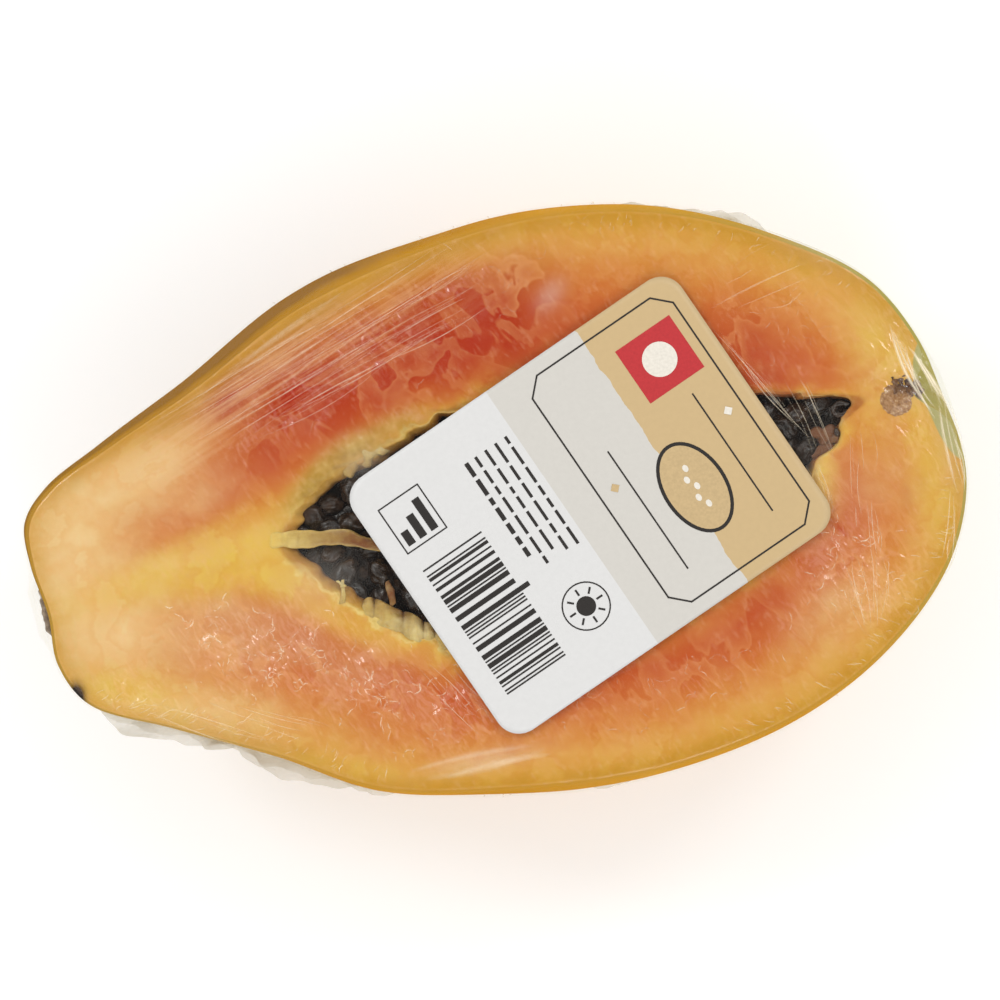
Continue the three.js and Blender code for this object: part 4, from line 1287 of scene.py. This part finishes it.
def makeFlaps():
    dice = random.Random(91)
    wide = flaps["across"]
    cells = [(k * wide + i, (k + 1) * wide + i) for k in range(flaps["out"] - 1) for i in range(wide - 1)]
    sheet = [[near, near + 1, far + 1, far] for near, far in cells]
    parts, crumples, fogs = [], [], []
    for at, half, standOff, foot, layers in flaps["list"]:
        for layer in range(layers):
            rows, fog, crumple = flapRows(at, half, standOff, foot, layer, dice)
            parts.append((rows, sheet))
            fogs += fog
            crumples += crumple
    points, faces = joined(parts)
    fields = {"crumple": crumples, "gloss": np.full(len(points), film["gloss"]),
              "milky": milkiness(points, 44), "fog": fogs}
    # the loose film's veil is a greyer white than the stretched sheet's: painted shade on the flaps
    loose = stretchedClingFilm("looseClingFilm", 0.7, 0.3, 0.75, "#e2dfd6")
    letLightThrough(makePiece("film_flaps", points, faces, [loose], "cling_film", fields))


makeFlaps()

# label: a printed sheet with round corners, and its print in thin raised ink

labelDesign = {
    "bend": 0.25, "thick": 0.1, "ink": 0.03,
    "white": "#e0dfdd", "beige": "#d5d1c9", "fieldEdges": (-4.2, 16.5), "tornEdge": 2.4,
    # inks in layers of their own: colour, and layers up
    "inks": {"dark": ("#2e2a27", 1), "red": ("#c6363a", 1), "pale": ("#f0e9dc", 2), "tan": ("#cfb384", 1.5)},
    # places in the label's own axes, in mm from its middle
    "bars": {"at": -33.5, "from": -21.0, "to": 8.0, "long": 13.5, "longer": 15.5,
             "widths": (0.33, 0.33, 0.66, 0.99)},
    "dashes": {"rows": 5, "at": -15.5, "apart": 2.3, "from": 20.0, "to": -2.0, "gap": 0.8, "wide": 0.6},
    "sun": {"at": (-11.5, -15.5), "ring": 4.6, "disc": 1.9, "rays": (2.5, 3.6)},
    "box": {"from": (-34, 12), "to": (-25, 22), "bars": (3, 5, 7)},
    "frame": {"from": (2.4, -26.2), "to": (35.0, 26.2), "cut": 3.2},
    "patch": {"from": (20.5, 9.5), "to": (33.0, 21.5), "disc": 3.4},
    "halfFruit": {"at": (18.5, -8.5), "skin": (6.2, 9.6), "flesh": (5.5, 8.9), "cavity": (2.1, 5.6)},
    "rules": {"at": (8.6, 28.2), "from": -20.5, "to": 6.5},
}


def onLabel(u, v, up=0.0):  # a point of the label's gently bent face, from its own axes
    c, s = unit(labelSize["turn"])
    x = labelSize["middle"][0] + u * c - v * s
    y = labelSize["middle"][1] + u * s + v * c
    corner = (2 * u / labelSize["length"]) ** 2 * (2 * v / labelSize["width"]) ** 2
    lift = labelDesign["bend"] * (corner - 0.3 * np.cos(u / 14) * np.cos(v / 12))
    return np.stack([x, y, labelSize["lift"] + lift + up], 1)


def satinPrintedLabel():
    # Self-adhesive label of plastic-faced paper, printed and varnished: satin, very smooth.
    made, tree = newMaterial("satinPrintedLabel")
    along = node(tree, "Attribute", {"attribute_name": "along"})
    torn = wander(tree, along, [(grain(tree, 7, 3, 0.6), labelDesign["tornEdge"])])
    beigeFrom, tanFrom = labelDesign["fieldEdges"]
    isBeige = node(tree, "Math", {"operation": "GREATER_THAN"}, i0=along, i1=beigeFrom)
    isTan = node(tree, "Math", {"operation": "GREATER_THAN"}, i0=torn, i1=tanFrom)
    colour = node(tree, "MixRGB", Fac=isBeige, Color1=labelDesign["white"], Color2=labelDesign["beige"])
    colour = node(tree, "MixRGB", Fac=isTan, Color1=colour, Color2=labelDesign["inks"]["tan"][0])
    mottled = node(tree, "ValToRGB", {"stops": [(0.35, "#fcfcfc"), (0.65, "#ffffff")]},
                   Fac=grain(tree, 1.1, 4, 0.6))
    colour = node(tree, "MixRGB", {"blend_type": "MULTIPLY"}, Fac=1.0, Color1=colour, Color2=mottled)
    relief = node(tree, "Bump", Height=grain(tree, 9, 1), Distance=0.5 * mm, Strength=0.06)
    node(tree, "OutputMaterial", Surface=node(
        tree, "BsdfPrincipled", Base_Color=colour, Roughness=0.42, IOR=1.5, Normal=relief))
    return made


def printedInk(name, hexColour):
    # Offset ink under the label's varnish: an even colour with a faint screen.
    made, tree = newMaterial(name)
    tone = node(tree, "ValToRGB", {"stops": [(0.3, "#f2f2f2"), (0.7, "#ffffff")]}, Fac=grain(tree, 0.5, 2))
    colour = node(tree, "MixRGB", {"blend_type": "MULTIPLY"}, Fac=1.0, Color1=hexColour, Color2=tone)
    node(tree, "OutputMaterial", Surface=node(
        tree, "BsdfPrincipled", Base_Color=colour, Roughness=0.42, IOR=1.5))
    return made


def makeLabel():
    halfLong, halfWide, corner = labelSize["length"] / 2, labelSize["width"] / 2, labelSize["corner"]
    turn = np.arange(360) * math.tau / 360
    # rings from the middle out to the edge of a rounded rectangle, then down its thickness
    far = np.maximum(np.abs(np.cos(turn)) / halfLong, np.abs(np.sin(turn)) / halfWide)
    x, y = np.cos(turn) / far, np.sin(turn) / far
    inX, inY = np.abs(x) - (halfLong - corner), np.abs(y) - (halfWide - corner)
    inCorner = (inX > 0) & (inY > 0)
    way = np.hypot(np.maximum(inX, 1e-9), np.maximum(inY, 1e-9))
    x = np.where(inCorner, np.sign(x) * (halfLong - corner + inX / way * corner), x)
    y = np.where(inCorner, np.sign(y) * (halfWide - corner + inY / way * corner), y)
    shares = [(s, 0.0) for s in np.linspace(0.03, 1, 30)]
    shares += [(s, -labelDesign["thick"]) for s in (1, 0.7, 0.35, 0.05)]
    rings = [onLabel(x * s, y * s, up) for s, up in shares]
    points, faces = lathe(rings, closeStart=True, closeEnd=True)
    along = np.concatenate([x * s for s, _ in shares] + [[0, 0]])
    made = makePiece("label_sheet", points, faces, [satinPrintedLabel()], "label_paper", {"along": along})
    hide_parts("label")


def makePrint():
    dice = random.Random(19)
    design = labelDesign
    shapes = {ink: [] for ink in design["inks"]}  # flat outlines in the label's axes

    def bar(ink, u0, v0, u1, v1):
        pieces = max(1, int(max(abs(u1 - u0), abs(v1 - v0)) / 4))
        for k in range(pieces):
            if abs(u1 - u0) >= abs(v1 - v0):
                a, b = u0 + (u1 - u0) * k / pieces, u0 + (u1 - u0) * (k + 1) / pieces
                shapes[ink].append([(a, v0), (b, v0), (b, v1), (a, v1)])
            else:
                a, b = v0 + (v1 - v0) * k / pieces, v0 + (v1 - v0) * (k + 1) / pieces
                shapes[ink].append([(u0, a), (u1, a), (u1, b), (u0, b)])

    def line(route, half):  # a drawn line through points, a little longer at each end
        for start, end in zip(route, route[1:]):
            start, end = np.array(start), np.array(end)
            length = math.hypot(*(end - start))
            way = (end - start) / length * half
            side = np.array([-way[1], way[0]])
            start, end = start - 0.6 * way, end + 0.6 * way
            pieces = max(1, int(length / 4))
            for k in range(pieces):
                p, q = start + (end - start) * k / pieces, start + (end - start) * (k + 1) / pieces
                shapes["dark"].append([p - side, q - side, q + side, p + side])

    def ring(u, v, wide, high, count=36):
        turn = np.linspace(0, math.tau, count, endpoint=False)
        return [(u + wide * math.cos(t), v + high * math.sin(t)) for t in turn]

    # plain bars of random widths, and rows of dashes where small print would be
    bars, dashes = design["bars"], design["dashes"]
    v = bars["from"]
    while v < bars["to"]:
        wide = dice.choice(bars["widths"])
        long = bars["long"] if dice.random() > 0.12 else bars["longer"]
        bar("dark", bars["at"], v, bars["at"] + long, v + wide)
        v += wide + dice.choice(bars["widths"])
    for row in range(dashes["rows"]):
        u, v = dashes["at"] + dashes["apart"] * row, dashes["from"]
        while v > dashes["to"] - 3 * (row % 2):
            word = dice.uniform(1.4, 4.6)
            bar("dark", u, v - word, u + dashes["wide"] * (1.5 if row == 0 else 1), v)
            v -= word + dashes["gap"]
    # a plain sun and a box of three bars
    sun, box = design["sun"], design["box"]
    x, y = sun["at"]
    circle = ring(x, y, sun["ring"], sun["ring"])
    line(circle + circle[:1], 0.14)
    shapes["dark"].append(ring(x, y, sun["disc"], sun["disc"]))
    for k in range(8):
        c, s = unit(45 * k)
        line([(x + r * c, y + r * s) for r in sun["rays"]], 0.2)
    (u0, v0), (u1, v1) = box["from"], box["to"]
    line([(u0, v0), (u1, v0), (u1, v1), (u0, v1), (u0, v0)], 0.14)
    for k, high in enumerate(box["bars"]):
        bar("dark", u0 + 1 + 2.6 * k, v0 + 1, u0 + 2.6 + 2.6 * k, v0 + 1 + high)
    # a frame with cut corners and a small diamond at both ends
    (u0, v0), (u1, v1) = design["frame"]["from"], design["frame"]["to"]
    cut = design["frame"]["cut"]
    line([(u0 + cut, v0), (u1 - cut, v0), (u1, v0 + cut), (u1, v1 - cut), (u1 - cut, v1),
          (u0 + cut, v1), (u0, v1 - cut), (u0, v0 + cut), (u0 + cut, v0)], 0.17)
    for ink, u in (("tan", u0 + 3.4), ("pale", u1 - 3.0)):
        shapes[ink].append([(u - 1, 0), (u, -1), (u + 1, 0), (u, 1)])
    # inside it a red patch with a disc, and half a fruit between two ruled lines
    (u0, v0), (u1, v1) = design["patch"]["from"], design["patch"]["to"]
    shapes["red"].append([(u0, v0), (u1, v0), (u1, v1), (u0, v1)])
    disc = design["patch"]["disc"]
    shapes["pale"].append(ring((u0 + u1) / 2, (v0 + v1) / 2, disc, disc))
    half = design["halfFruit"]
    x, y = half["at"]
    shapes["dark"].append(ring(x, y, *half["skin"], 48))
    shapes["tan"].append(ring(x, y, *half["flesh"], 48))
    shapes["dark"].append(ring(x, y, *half["cavity"]))
    for k in range(5):
        shapes["pale"].append(ring(x + 0.5 * (-1) ** k, y - 4 + 2 * k, 0.55, 0.75, 12))
    for u in design["rules"]["at"]:
        line([(u, design["rules"]["from"]), (u, design["rules"]["to"])], 0.16)
    parts, kinds, materials = [], [], []
    for kind, (ink, (colour, layers)) in enumerate(design["inks"].items()):
        materials.append(printedInk(f"{ink}PrintedInk", colour))
        for corners in shapes[ink]:
            u, v = np.array(corners, float).T
            parts.append((onLabel(u, v, design["ink"] * layers), [range(len(corners))]))
            kinds.append(kind)
    makePiece("label_print", *joined(parts), materials, "label_paper", None, kinds, smooth=False)


makeLabel()
makePrint()
